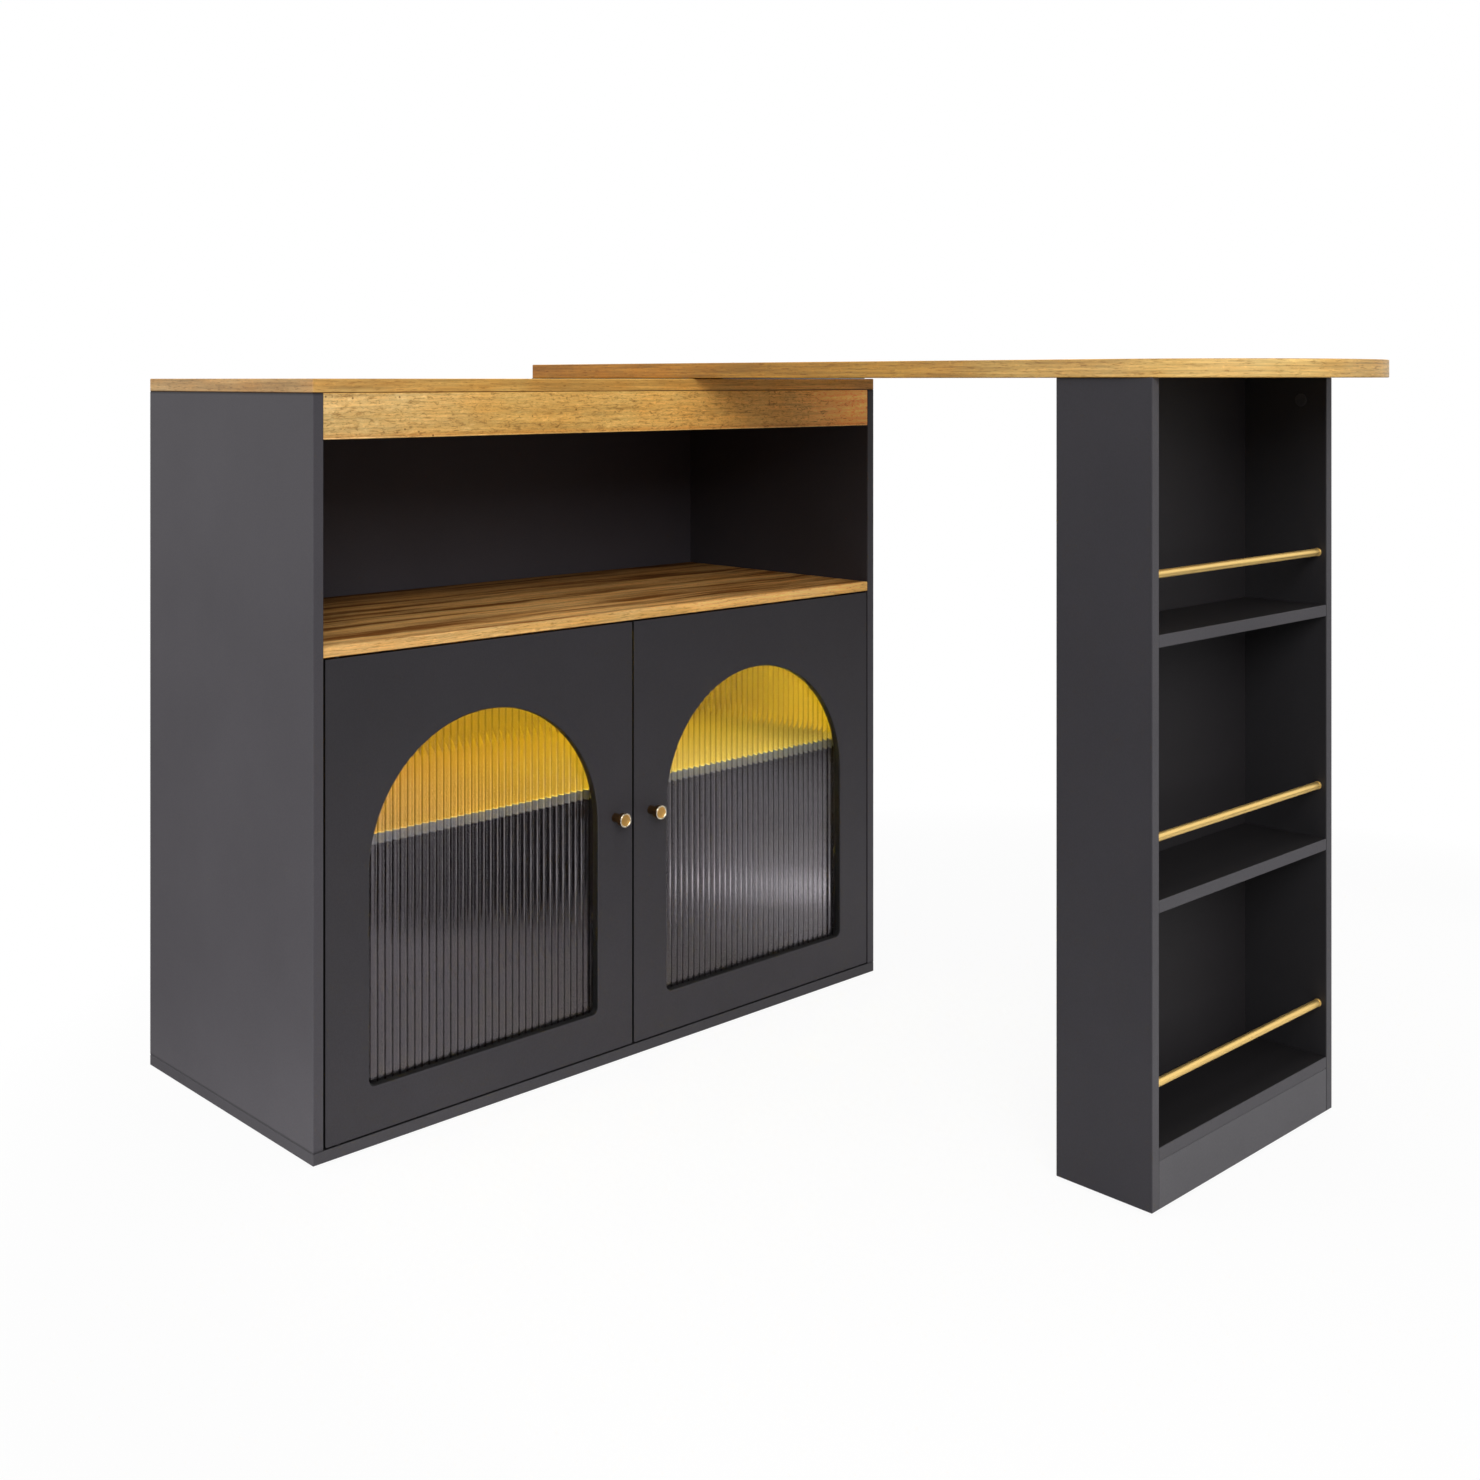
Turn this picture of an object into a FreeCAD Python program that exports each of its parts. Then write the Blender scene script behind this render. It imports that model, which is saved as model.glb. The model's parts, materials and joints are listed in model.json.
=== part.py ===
import FreeCAD, Part
import math
import os

# Bar table: a cabinet with two arched glass doors, and a bar that turns on it and rests on a shelf column.
# X runs along the cabinet's front, Y from the front to the back, Z up. Lengths are in millimetres.
# Pieces are drawn from the cabinet's front left foot and moved to the middle of the whole table at the end.

# Boards
board = 15.0
cabinet_top_board = 18.0
bar_board = 22.0
back_board = 5.0
edge_bevel = 0.8
groove_depth = 6.0
back_recess = 11.0
overrun = 5.0

# Clearances
contact_gap = 0.3
running_gap = 0.05

# Cabinet
bar_surface_height = 1000.0
cabinet_width = 1037.0
cabinet_depth = 448.0
glide_height = 2.0
bar_pad_height = 1.0
middle_shelf_top = 644.0
inner_shelf_top = 387.0
inner_shelf_setback = 42.0
inner_shelf_side_gap = 1.0
apron_height = 58.0

# Doors
door_gap = 2.4
door_meeting_gap = 3.2
arch_width = 372.0
arch_centre_height = 347.5
arch_sill_height = 77.5
arch_sill_radius = 9.0
arch_lip_bevel = 2.5
glass_thickness = 4.0
glass_overlap = 7.0
glass_edge_gap = 0.5
flute_pitch = 11.2
flute_depth = 1.25
door_pivot_inset = 20.0
door_pin_radius = 3.0
door_pin_depth = 12.0
door_pin_reach = 6.0
door_shoulder_radius = 5.0

# Glass clips
clip_length = 20.0
clip_width = 12.0
clip_thickness = 2.0
clip_corner = 3.0

# Knobs
knob_height = 350.0
knob_from_edge = 32.0
knob_reach = 24.0
knob_head_radius = 10.0
knob_head_length = 8.0
knob_neck_radius = 6.5

# Magnetic catch and strike plates
catch_width = 62.0
catch_depth = 14.0
catch_height = 12.0
catch_pad_width = 16.0
catch_pad_height = 6.0
catch_pad_reach = 1.0
strike_width = 22.0
strike_height = 14.0
strike_thickness = 1.5
strike_from_edge = 18.0

# Light bar
light_end_gap = 73.5
light_width = 26.0
light_height = 9.0
light_setback = 62.0
light_wall = 1.2
light_diffuser_thickness = 3.0

# Shelf pins and glides
shelf_pin_radius = 2.5
shelf_pin_depth = 8.0
shelf_pin_reach = 9.0
shelf_pin_flat = 0.4
shelf_pin_inset = 55.0
glide_size = 24.0
glide_inset = 30.0

# Bar
bar_width = 440.0
bar_nose = 152.0
bar_nose_radius = 200.0
bar_tail_radius = 4.0
bar_edge_bevel = 1.2
pivot_from_right = 181.0
tail_inset = 12.0
swing_clearance = 5.0

# Swivel between the bar and the cabinet
swivel_plate_size = 110.0
swivel_plate_thickness = 4.0
spindle_radius = 10.0
spindle_end = 4.0
swivel_bush_wall = 3.0
swivel_bush_flange_size = 56.0
swivel_bush_flange_height = 2.5
nut_across_flats = 36.0
nut_height = 14.0
glide_strip_width = 24.0
glide_strip_offset = 160.0
glide_strip_inset = 12.0

# Shelf column
column_width = 430.0
column_depth = 136.0
column_floor_gap = 3.0
column_upper_shelf_top = 676.0
column_lower_shelf_top = 365.0
column_bottom_shelf_top = 75.0
column_back_floor_gap = 12.0
rail_radius = 5.0
rail_above_shelf = 69.5
rail_setback = 12.0
rail_socket_depth = 5.0

# Rollers under the column
roller_inset = 75.0
roller_radius = 25.0
roller_width = 18.0
roller_axle_radius = 3.0
bracket_wall = 2.0
bracket_length = 44.0
bracket_foot = 8.0

# Levels worked out from the sizes above
bar_underside = bar_surface_height - bar_board
cabinet_top_height = bar_underside - bar_pad_height - contact_gap
cabinet_top_underside = cabinet_top_height - cabinet_top_board
base_top = glide_height + board
middle_shelf_underside = middle_shelf_top - board
inner_shelf_underside = inner_shelf_top - board
cabinet_right_inner = cabinet_width - board
cabinet_inner_width = cabinet_width - board - board
back_panel_rear = cabinet_depth - back_recess
back_panel_face = back_panel_rear - back_board

# Bar and column places worked out from the swing
pivot_x = cabinet_width - pivot_from_right
pivot_y = cabinet_depth - bar_width / 2
corner_reach = math.hypot(pivot_x, pivot_y)
column_back_radius = corner_reach + swing_clearance - back_recess
column_rear = pivot_y - column_back_radius
column_front = column_rear - column_depth
column_left = pivot_x - column_width / 2
column_right = pivot_x + column_width / 2
column_left_inner = column_left + board
column_right_inner = column_right - board
column_back_face = column_rear - back_recess - back_board
bar_front = column_front - bar_nose
bar_back = pivot_y + pivot_from_right - tail_inset
bar_left = pivot_x - bar_width / 2
bar_right = pivot_x + bar_width / 2

# Door places: the left door, from the side panel to the meeting edge
door_width = (cabinet_inner_width - 2 * door_gap - door_meeting_gap) / 2
door_bottom = base_top + door_gap
door_top = middle_shelf_underside - door_gap
left_door_left = board + door_gap
left_door_right = left_door_left + door_width
left_door_middle = (left_door_left + left_door_right) / 2
cabinet_middle = cabinet_width / 2
left_axis_x = left_door_left + door_pivot_inset
door_axis_places = (left_axis_x, cabinet_width - left_axis_x)
door_axis_y = board / 2
glass_face = board - glass_thickness
door_pin_end = door_pin_reach + contact_gap

# Levels of the swivel, from the bar down to the end of the spindle
swivel_bush_outer = spindle_radius + running_gap + swivel_bush_wall
nut_top = cabinet_top_underside - contact_gap
nut_foot = nut_top - nut_height
spindle_foot = nut_foot - spindle_end

# Roller places, and the turn that points each axle at the swivel
bracket_top = column_bottom_shelf_top - board
roller_y = (column_front + board + column_back_face) / 2
roller_places = {"left": column_left_inner + roller_inset, "right": column_right_inner - roller_inset}
bracket_inner = roller_width / 2 + contact_gap
bracket_outer = bracket_inner + bracket_wall

# Middle of the whole table's footprint, where its origin lies
middle_x = max(cabinet_width, bar_right) / 2
middle_y = (bar_front + cabinet_depth) / 2
origin_shift = FreeCAD.Vector(-middle_x, -middle_y, 0)

along_x = FreeCAD.Vector(1, 0, 0)
along_y = FreeCAD.Vector(0, 1, 0)
up = FreeCAD.Vector(0, 0, 1)
down = FreeCAD.Vector(0, 0, -1)
centre = FreeCAD.Vector(0, 0, 0)
knob_place = FreeCAD.Vector(left_door_right - knob_from_edge, 0, knob_height)


def point(x, y, z):
    return FreeCAD.Vector(x, y, z)


def block(x0, x1, y0, y1, z0, z1):
    """A box between two corners."""
    return Part.makeBox(x1 - x0, y1 - y0, z1 - z0, point(x0, y0, z0))


def panel(x0, x1, y0, y1, z0, z1):
    """A board with bevelled edge banding."""
    shape = block(x0, x1, y0, y1, z0, z1)
    return shape.makeChamfer(edge_bevel, shape.Edges)


def rod(radius, start, end):
    """A round bar from one point to another."""
    axis = end - start
    return Part.makeCylinder(radius, axis.Length, start, axis)


def hole(radius, start, end):
    """The hole that a rod sits in, a little wider than the rod."""
    return rod(radius + running_gap, start, end)


def group(solids):
    """Separate solids kept together in one node."""
    return Part.makeCompound(solids)


def joined(first, *others):
    return first.fuse(list(others)).removeSplitter()


def turned(points):
    """A solid of revolution about Z from an outline of radius and height."""
    corners = [point(radius, 0, height) for radius, height in points]
    outline = Part.makePolygon(corners + [corners[0]])
    return Part.Face(outline).revolve(centre, up, 360)


def laid(shape, place, axis=up):
    """A shape drawn about Z, laid along an axis at a place."""
    moved = shape.copy()
    moved.Placement = FreeCAD.Placement(place, FreeCAD.Rotation(up, axis))
    return moved


def mirrored(shape, x):
    """A copy on the other side of the upright plane at x."""
    return shape.mirror(point(x, 0, 0), along_x)


def corner_arc(start, end, corner):
    """A quarter round from start to end, round the inside of a square corner."""
    middle = (start + end) / 2
    return Part.Arc(start, corner + (middle - corner) * (2 - math.sqrt(2)), end)


def rounded_outline(x0, x1, y0, y1, z, front_radius, back_radius):
    """A closed rectangle at height z, with rounded front and back corners."""
    corners = [(point(x1, y0, z), front_radius), (point(x1, y1, z), back_radius),
               (point(x0, y1, z), back_radius), (point(x0, y0, z), front_radius)]
    ways = [along_x, along_y, -along_x, -along_y]
    edges = []
    for number, (corner, radius) in enumerate(corners):
        start = corner - ways[number] * radius
        end = corner + ways[(number + 1) % len(ways)] * radius
        next_corner, next_radius = corners[(number + 1) % len(corners)]
        edges.append(corner_arc(start, end, corner))
        edges.append(Part.LineSegment(end, next_corner - ways[(number + 1) % len(ways)] * next_radius))
    return Part.Wire([edge.toShape() for edge in edges])


def axis_at(height):
    """A point on the bar's swivel axis."""
    return point(pivot_x, pivot_y, height)


def plate_at_pivot(size, low, high):
    """A square plate round the swivel axis between two heights."""
    half = size / 2
    return block(pivot_x - half, pivot_x + half, pivot_y - half, pivot_y + half, low, high)


nodes = {}
column_shelf_tops = {"upper": column_upper_shelf_top, "lower": column_lower_shelf_top,
                     "bottom": column_bottom_shelf_top}


# Cabinet boards
def back_groove(inner_face, into_board, y_face, bottom, top):
    """The groove in a side panel that holds the edge of a thin back panel."""
    end = inner_face + into_board.x * groove_depth
    return block(min(inner_face, end), max(inner_face, end), y_face, y_face + back_board, bottom, top)


def cabinet_side(inner_face, into_board):
    """A side panel with the groove of the back panel and its shelf pin holes."""
    outer_face = inner_face + into_board.x * board
    shape = panel(min(inner_face, outer_face), max(inner_face, outer_face), 0, cabinet_depth,
                  base_top, cabinet_top_underside)
    shape = shape.cut(back_groove(inner_face, into_board, back_panel_face, base_top, cabinet_top_underside))
    for place in shelf_pin_places(inner_face):
        shape = shape.cut(hole(shelf_pin_radius, place, place + into_board * shelf_pin_depth))
    return shape


def shelf_pin_places(inner_face):
    """Middles of the two pins that carry the inner shelf on one side."""
    height = inner_shelf_underside - shelf_pin_radius + shelf_pin_flat
    front = inner_shelf_setback + shelf_pin_inset
    return [point(inner_face, front, height), point(inner_face, back_panel_face - shelf_pin_inset, height)]


def square_pad(place, size, height):
    """A square felt pad that hangs under a point."""
    half = size / 2
    return block(place.x - half, place.x + half, place.y - half, place.y + half, place.z - height, place.z)


def glide_places():
    """Middles of the six glides: the corners, and half way along the front and the back."""
    columns = [glide_inset, cabinet_middle, cabinet_width - glide_inset]
    return [point(x, y, glide_height) for x in columns for y in (glide_inset, cabinet_depth - glide_inset)]


def with_pin_holes(shape, height, into_board):
    """A board with the two holes that the doors' pivot pins turn in."""
    for x in door_axis_places:
        place = point(x, door_axis_y, height)
        shape = shape.cut(hole(door_pin_radius, place, place + into_board * door_pin_end))
    return shape


def cabinet_top():
    """The top board with the stepped hole of the swivel bush."""
    shape = panel(0, cabinet_width, 0, cabinet_depth, cabinet_top_underside, cabinet_top_height)
    seat = axis_at(cabinet_top_height + bar_pad_height - swivel_bush_flange_height)
    shape = shape.cut(hole(swivel_bush_outer, axis_at(cabinet_top_underside), seat))
    return shape.cut(plate_at_pivot(swivel_bush_flange_size, seat.z, cabinet_top_height + overrun))


def shelf_pin(place, into_board):
    """A pin with a flat on top that the shelf lies on."""
    tip = place - into_board * shelf_pin_reach
    pin = rod(shelf_pin_radius, place + into_board * shelf_pin_depth, tip)
    above = block(min(place.x, tip.x), max(place.x, tip.x), place.y - shelf_pin_radius,
                  place.y + shelf_pin_radius, inner_shelf_underside, inner_shelf_top)
    return pin.cut(above)


def cabinet_parts():
    base = panel(0, cabinet_width, 0, cabinet_depth, glide_height, base_top)
    shelf = panel(board, cabinet_right_inner, 0, back_panel_face, middle_shelf_underside, middle_shelf_top)
    nodes["cabinet_base_panel"] = with_pin_holes(base, base_top, down)
    nodes["middle_shelf"] = with_pin_holes(shelf, middle_shelf_underside, up)
    nodes["cabinet_left_side"] = cabinet_side(board, -along_x)
    nodes["cabinet_right_side"] = cabinet_side(cabinet_right_inner, along_x)
    nodes["cabinet_top_panel"] = cabinet_top()
    nodes["front_apron"] = panel(board, cabinet_right_inner, 0, board,
                                 cabinet_top_underside - apron_height, cabinet_top_underside)
    nodes["cabinet_back_panel"] = block(board - groove_depth, cabinet_right_inner + groove_depth,
                                        back_panel_face, back_panel_rear, base_top, cabinet_top_underside)
    nodes["inner_shelf"] = panel(board + inner_shelf_side_gap, cabinet_right_inner - inner_shelf_side_gap,
                                 inner_shelf_setback, back_panel_face - contact_gap,
                                 inner_shelf_underside, inner_shelf_top)
    pins = []
    for inner_face, into_board in ((board, -along_x), (cabinet_right_inner, along_x)):
        pins += [shelf_pin(place, into_board) for place in shelf_pin_places(inner_face)]
    nodes["inner_shelf_pins"] = group(pins)
    nodes["cabinet_glides"] = group([square_pad(place, glide_size, glide_height) for place in glide_places()])


# Light bar under the middle shelf, just behind the doors
def light_bar():
    """A channel open below, and the diffuser strip that closes it."""
    left, right = board + light_end_gap, cabinet_right_inner - light_end_gap
    front, back = light_setback, light_setback + light_width
    bottom = middle_shelf_underside - light_height
    channel = block(left, right, front, back, bottom, middle_shelf_underside)
    inside = block(left + light_wall, right - light_wall, front + light_wall, back - light_wall,
                   bottom, middle_shelf_underside - light_wall)
    nodes["light_bar_housing"] = channel.cut(inside)
    nodes["light_bar_diffuser"] = block(left + light_wall, right - light_wall, front + light_wall,
                                        back - light_wall, bottom, bottom + light_diffuser_thickness)


def magnetic_catch():
    """A double catch under the middle shelf, with one magnet pad for each door."""
    front = board + strike_thickness + contact_gap + catch_pad_reach
    low = middle_shelf_underside - catch_height
    body = block(cabinet_middle - catch_width / 2, cabinet_middle + catch_width / 2,
                 front, front + catch_depth, low, middle_shelf_underside)
    offset = strike_from_edge + door_meeting_gap / 2
    pad_low = low + (catch_height - catch_pad_height) / 2
    pads = [block(x - catch_pad_width / 2, x + catch_pad_width / 2, front - catch_pad_reach,
                  front + catch_pad_reach, pad_low, pad_low + catch_pad_height)
            for x in (cabinet_middle - offset, cabinet_middle + offset)]
    nodes["magnetic_catch"] = joined(body, *pads)


# Doors, drawn as the left one and mirrored for the right
def arch_outline(offset, y):
    """The arched opening's outline, moved outwards by an offset, on the upright plane at y."""
    half = arch_width / 2 + offset
    sill = arch_sill_height - offset
    corner = arch_sill_radius + offset
    x, z = left_door_middle, arch_centre_height
    bend = corner * (1 - math.sqrt(1 / 2))
    left_low, left_high = point(x - half + corner, y, sill), point(x - half, y, sill + corner)
    right_low, right_high = point(x + half - corner, y, sill), point(x + half, y, sill + corner)
    left_spring, right_spring = point(x - half, y, z), point(x + half, y, z)
    edges = [Part.LineSegment(left_low, right_low),
             Part.Arc(right_low, point(x + half - bend, y, sill + bend), right_high),
             Part.LineSegment(right_high, right_spring),
             Part.Arc(right_spring, point(x, y, z + half), left_spring),
             Part.LineSegment(left_spring, left_high),
             Part.Arc(left_high, point(x - half + bend, y, sill + bend), left_low)]
    return Part.Wire([edge.toShape() for edge in edges])


def arch_prism(offset, y0, y1):
    """A solid of the arched outline between two depths."""
    return Part.Face(arch_outline(offset, y0)).extrude(along_y * (y1 - y0))


def is_arch_lip(edge):
    """True for the front edges of the arched opening, which lie well inside the door's face."""
    box = edge.BoundBox
    margin = edge_bevel + edge_bevel
    return (abs(box.YMax) < running_gap
            and box.XMin > left_door_left + margin and box.XMax < left_door_right - margin
            and box.ZMin > door_bottom + margin and box.ZMax < door_top - margin)


def door_frame():
    """A door board with its arched opening, bevelled lip, and the rebate of the glass behind."""
    shape = panel(left_door_left, left_door_right, 0, board, door_bottom, door_top)
    shape = shape.cut(arch_prism(0, -overrun, board + overrun))
    shape = shape.makeChamfer(arch_lip_bevel, [edge for edge in shape.Edges if is_arch_lip(edge)])
    shape = shape.cut(arch_prism(glass_overlap, glass_face, board + overrun))
    bottom_hole = point(left_axis_x, door_axis_y, door_bottom)
    top_hole = point(left_axis_x, door_axis_y, door_top)
    shape = shape.cut(hole(door_shoulder_radius, bottom_hole, bottom_hole + up * door_pin_depth))
    return shape.cut(hole(door_pin_radius, top_hole, top_hole + down * door_pin_depth))


def door_glass():
    """A pane with upright reeds on its front, cut to the arch."""
    clear = glass_overlap - glass_edge_gap
    reed_count = math.ceil((arch_width / 2 + clear) / flute_pitch)
    valley = glass_face + flute_depth
    edges = []
    for number in range(-reed_count, reed_count):
        start = point(left_door_middle + number * flute_pitch, valley, 0)
        crest = point(start.x + flute_pitch / 2, glass_face, 0)
        edges.append(Part.Arc(start, crest, start + along_x * flute_pitch))
    left = left_door_middle - reed_count * flute_pitch
    right = left_door_middle + reed_count * flute_pitch
    corners = [point(right, valley, 0), point(right, board, 0), point(left, board, 0), point(left, valley, 0)]
    edges += [Part.LineSegment(start, end) for start, end in zip(corners, corners[1:])]
    outline = Part.Wire([edge.toShape() for edge in edges])
    reeded = Part.Face(outline).extrude(up * door_top)
    return reeded.common(arch_prism(clear, glass_face - overrun, board + overrun))


def clip_places():
    """Middles of the clips on the frame's edge behind a door, with the angle away from the glass."""
    reach = arch_width / 2 + glass_overlap
    low = arch_sill_height - glass_overlap
    straight_middle = (arch_sill_height + arch_centre_height) / 2
    places = [(point(left_door_middle - reach, board, straight_middle), 180),
              (point(left_door_middle + reach, board, straight_middle), 0),
              (point(left_door_middle - arch_width / 4, board, low), 270),
              (point(left_door_middle + arch_width / 4, board, low), 270)]
    for angle in (45, 90, 135):
        outwards = point(math.cos(math.radians(angle)), 0, math.sin(math.radians(angle)))
        places.append((point(left_door_middle, board, arch_centre_height) + outwards * reach, angle))
    return places


def glass_clip(place, angle):
    """A small plate that laps over the edge of the glass, with bevelled corners towards it."""
    half = clip_length / 2
    side = clip_width / 2
    corners = [point(half, 0, side), point(half, 0, -side), point(clip_corner - half, 0, -side),
               point(-half, 0, clip_corner - side), point(-half, 0, side - clip_corner),
               point(clip_corner - half, 0, side)]
    plate = Part.Face(Part.makePolygon(corners + [corners[0]])).extrude(along_y * clip_thickness)
    return laid_flat(plate, place, angle)


def laid_flat(shape, place, angle):
    """A shape turned on the upright plane of the doors' backs, and moved to a place."""
    moved = shape.copy()
    moved.Placement = FreeCAD.Placement(place, FreeCAD.Rotation(along_y, -angle))
    return moved


def knob():
    """A turned knob about Z: a straight neck and a round head."""
    head_start = knob_reach - knob_head_length
    outline = [(0, 0), (knob_neck_radius, 0), (knob_neck_radius, head_start), (knob_head_radius, head_start),
               (knob_head_radius, knob_reach), (0, knob_reach)]
    return turned(outline)


def door_pins():
    """The top and bottom pivot pins. The bottom one has a shoulder that carries the door."""
    x, y = left_axis_x, door_axis_y
    foot = point(x, y, base_top - door_pin_reach)
    shoulder = point(x, y, base_top + contact_gap)
    bottom_pin = joined(rod(door_pin_radius, foot, shoulder),
                        rod(door_shoulder_radius, shoulder, point(x, y, door_bottom + door_pin_depth)))
    top_pin = rod(door_pin_radius, point(x, y, door_top - door_pin_depth),
                  point(x, y, middle_shelf_underside + door_pin_reach))
    return group([bottom_pin, top_pin])


def strike_plate():
    """A thin steel plate behind the door's top corner, facing the magnet."""
    x = left_door_right - strike_from_edge
    middle = middle_shelf_underside - catch_height / 2
    top = min(middle + strike_height / 2, door_top)
    return block(x - strike_width / 2, x + strike_width / 2, board, board + strike_thickness,
                 top - strike_height, top)


def doors():
    left_door = {
        "door_frame": door_frame(),
        "door_glass": door_glass(),
        "glass_clips": group([glass_clip(place, angle) for place, angle in clip_places()]),
        "knob": laid(knob(), knob_place, -along_y),
        "pivot_pins": door_pins(),
        "strike_plate": strike_plate()}
    for name, shape in left_door.items():
        nodes["left_" + name] = shape
        nodes["right_" + name] = mirrored(shape, cabinet_middle)

# Swivel: a flange and spindle in the bar, turning in a bush in the cabinet's top
def swivel_flange():
    """The plate let into the bar, with the spindle that turns in the cabinet's top."""
    plate = plate_at_pivot(swivel_plate_size, bar_underside, bar_underside + swivel_plate_thickness)
    return joined(plate, rod(spindle_radius, axis_at(spindle_foot), axis_at(bar_underside)))


def swivel_bush():
    """A flanged bush that the spindle turns in and the flange rides on."""
    seat_depth = swivel_bush_flange_height - bar_pad_height
    sleeve = rod(swivel_bush_outer, axis_at(cabinet_top_underside), axis_at(cabinet_top_height))
    flange = plate_at_pivot(swivel_bush_flange_size, cabinet_top_height - seat_depth,
                            cabinet_top_height + bar_pad_height)
    bore = hole(spindle_radius, axis_at(cabinet_top_underside), axis_at(bar_underside))
    return joined(sleeve, flange).cut(bore)


def swivel_nut():
    """A hexagon nut on the end of the spindle, just under the cabinet's top."""
    corner = nut_across_flats / 2 / math.cos(math.pi / 6)
    turns = [number * math.pi / 3 for number in range(7)]
    corners = [axis_at(nut_foot) + point(corner * math.cos(turn), corner * math.sin(turn), 0)
               for turn in turns]
    hexagon = Part.Face(Part.makePolygon(corners)).extrude(up * nut_height)
    return hexagon.cut(hole(spindle_radius, axis_at(nut_foot), axis_at(nut_top)))


def swivel_parts():
    nodes["swivel_bush"] = swivel_bush()
    nodes["swivel_flange"] = swivel_flange()
    nodes["swivel_nut"] = swivel_nut()
    nodes["bar_glide_pads"] = group([glide_strip(side) for side in (-1, 1)])


def glide_strip(side):
    """A felt strip under the bar that lies along one side of the swivel."""
    middle = pivot_x + side * glide_strip_offset
    half = glide_strip_width / 2
    return block(middle - half, middle + half, glide_strip_inset, bar_back - glide_strip_inset,
                 bar_underside - bar_pad_height, bar_underside)


# Bar top
def bar_top():
    """The long board with its rounded outer end, and the seats of the swivel and the column below."""
    outline = rounded_outline(bar_left, bar_right, bar_front, bar_back, bar_underside,
                              bar_nose_radius, bar_tail_radius)
    shape = Part.Face(outline).extrude(up * bar_board)
    rims = [edge for edge in shape.Edges if edge.BoundBox.ZLength < bar_edge_bevel]
    shape = shape.makeChamfer(bar_edge_bevel, rims)
    return shape.cut(plate_at_pivot(swivel_plate_size, bar_underside - overrun,
                                    bar_underside + swivel_plate_thickness))


# Shelf column
def column_side(inner_face, into_board):
    """A side panel with the groove of the back panel and the sockets of the rails."""
    outer_face = inner_face + into_board.x * board
    shape = panel(min(inner_face, outer_face), max(inner_face, outer_face), column_front, column_rear,
                  column_floor_gap, bar_underside)
    groove = back_groove(inner_face, into_board, column_back_face, column_back_floor_gap, bar_underside)
    shape = shape.cut(groove)
    for shelf_top in column_shelf_tops.values():
        place = rail_place(inner_face, shelf_top)
        shape = shape.cut(hole(rail_radius, place, place + into_board * rail_socket_depth))
    return shape


def rail_place(x, shelf_top):
    return point(x, column_front + rail_setback, shelf_top + rail_above_shelf)


def column_parts():
    nodes["bar_top"] = bar_top()
    nodes["column_left_side"] = column_side(column_left_inner, -along_x)
    nodes["column_right_side"] = column_side(column_right_inner, along_x)
    nodes["column_back_panel"] = block(column_left_inner - groove_depth, column_right_inner + groove_depth,
                                       column_back_face, column_back_face + back_board,
                                       column_back_floor_gap, bar_underside)
    rail_names = {"upper": "upper_rail", "lower": "middle_rail", "bottom": "lower_rail"}
    for name, shelf_top in column_shelf_tops.items():
        nodes["column_" + name + "_shelf"] = panel(column_left_inner, column_right_inner, column_front,
                                                   column_back_face, shelf_top - board, shelf_top)
        rail_start = rail_place(column_left_inner - rail_socket_depth, shelf_top)
        rail_end = rail_place(column_right_inner + rail_socket_depth, shelf_top)
        nodes[rail_names[name]] = rod(rail_radius, rail_start, rail_end)
    nodes["column_kick_board"] = panel(column_left_inner, column_right_inner, column_front,
                                       column_front + board, column_floor_gap, bracket_top)


# Rollers behind the kick board, drawn about the middle of the bracket with the axle along Y
def roller_bracket():
    """A bent steel bracket: a plate under the shelf and two tapered ears that carry the axle."""
    half = bracket_length / 2
    foot = roller_radius - bracket_foot
    corners = [point(-half, -bracket_outer, bracket_top), point(half, -bracket_outer, bracket_top),
               point(bracket_foot, -bracket_outer, foot), point(-bracket_foot, -bracket_outer, foot)]
    ears = Part.Face(Part.makePolygon(corners + [corners[0]])).extrude(along_y * 2 * bracket_outer)
    between = block(-half, half, -bracket_inner, bracket_inner, foot, bracket_top - bracket_wall)
    return ears.cut(between).cut(hole(roller_axle_radius, point(0, -bracket_outer, roller_radius),
                                      point(0, bracket_outer, roller_radius)))


def roller():
    """A wheel about its own axle."""
    start, end = [point(0, side * roller_width / 2, roller_radius) for side in (-1, 1)]
    return rod(roller_radius, start, end).cut(hole(roller_axle_radius, start, end))


def roller_axle():
    return rod(roller_axle_radius, point(0, -bracket_outer, roller_radius),
               point(0, bracket_outer, roller_radius))


def rollers():
    """Two rollers, each turned so that its axle points at the swivel."""
    makers = {"roller_bracket": roller_bracket, "roller_axle": roller_axle, "roller": roller}
    for part_name, maker in makers.items():
        drawn = maker()
        for side, x in roller_places.items():
            turn = math.degrees(math.atan2(pivot_x - x, pivot_y - roller_y))
            placed = drawn.copy()
            placed.rotate(centre, up, -turn)
            placed.translate(point(x, roller_y, 0))
            nodes[side + "_" + part_name] = placed


def main():
    cabinet_parts()
    light_bar()
    magnetic_catch()
    doors()
    swivel_parts()
    column_parts()
    rollers()
    os.makedirs("parts", exist_ok=True)
    for name, shape in nodes.items():
        shape.translate(origin_shift)
        shape.exportStep("parts/" + name + ".step")
    print(len(nodes), "nodes written")


main()
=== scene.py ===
# %% [markdown]
# # A bar table with a storage cabinet
#
# This lesson dresses a bar table: a charcoal cabinet with two arched doors of reeded glass, an oak-look
# bar that turns on the cabinet, and a narrow shelf column under the bar's far end.
#
# The boards come ready made from the CAD model, which is loaded as a fixed frame. Their shapes are right,
# so they only need good finishes. What a CAD board can't show well is modelled here: the glass with its
# reeds, the turned knobs, the gold rails, the rollers, and the small fasteners that hold it all together.

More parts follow.
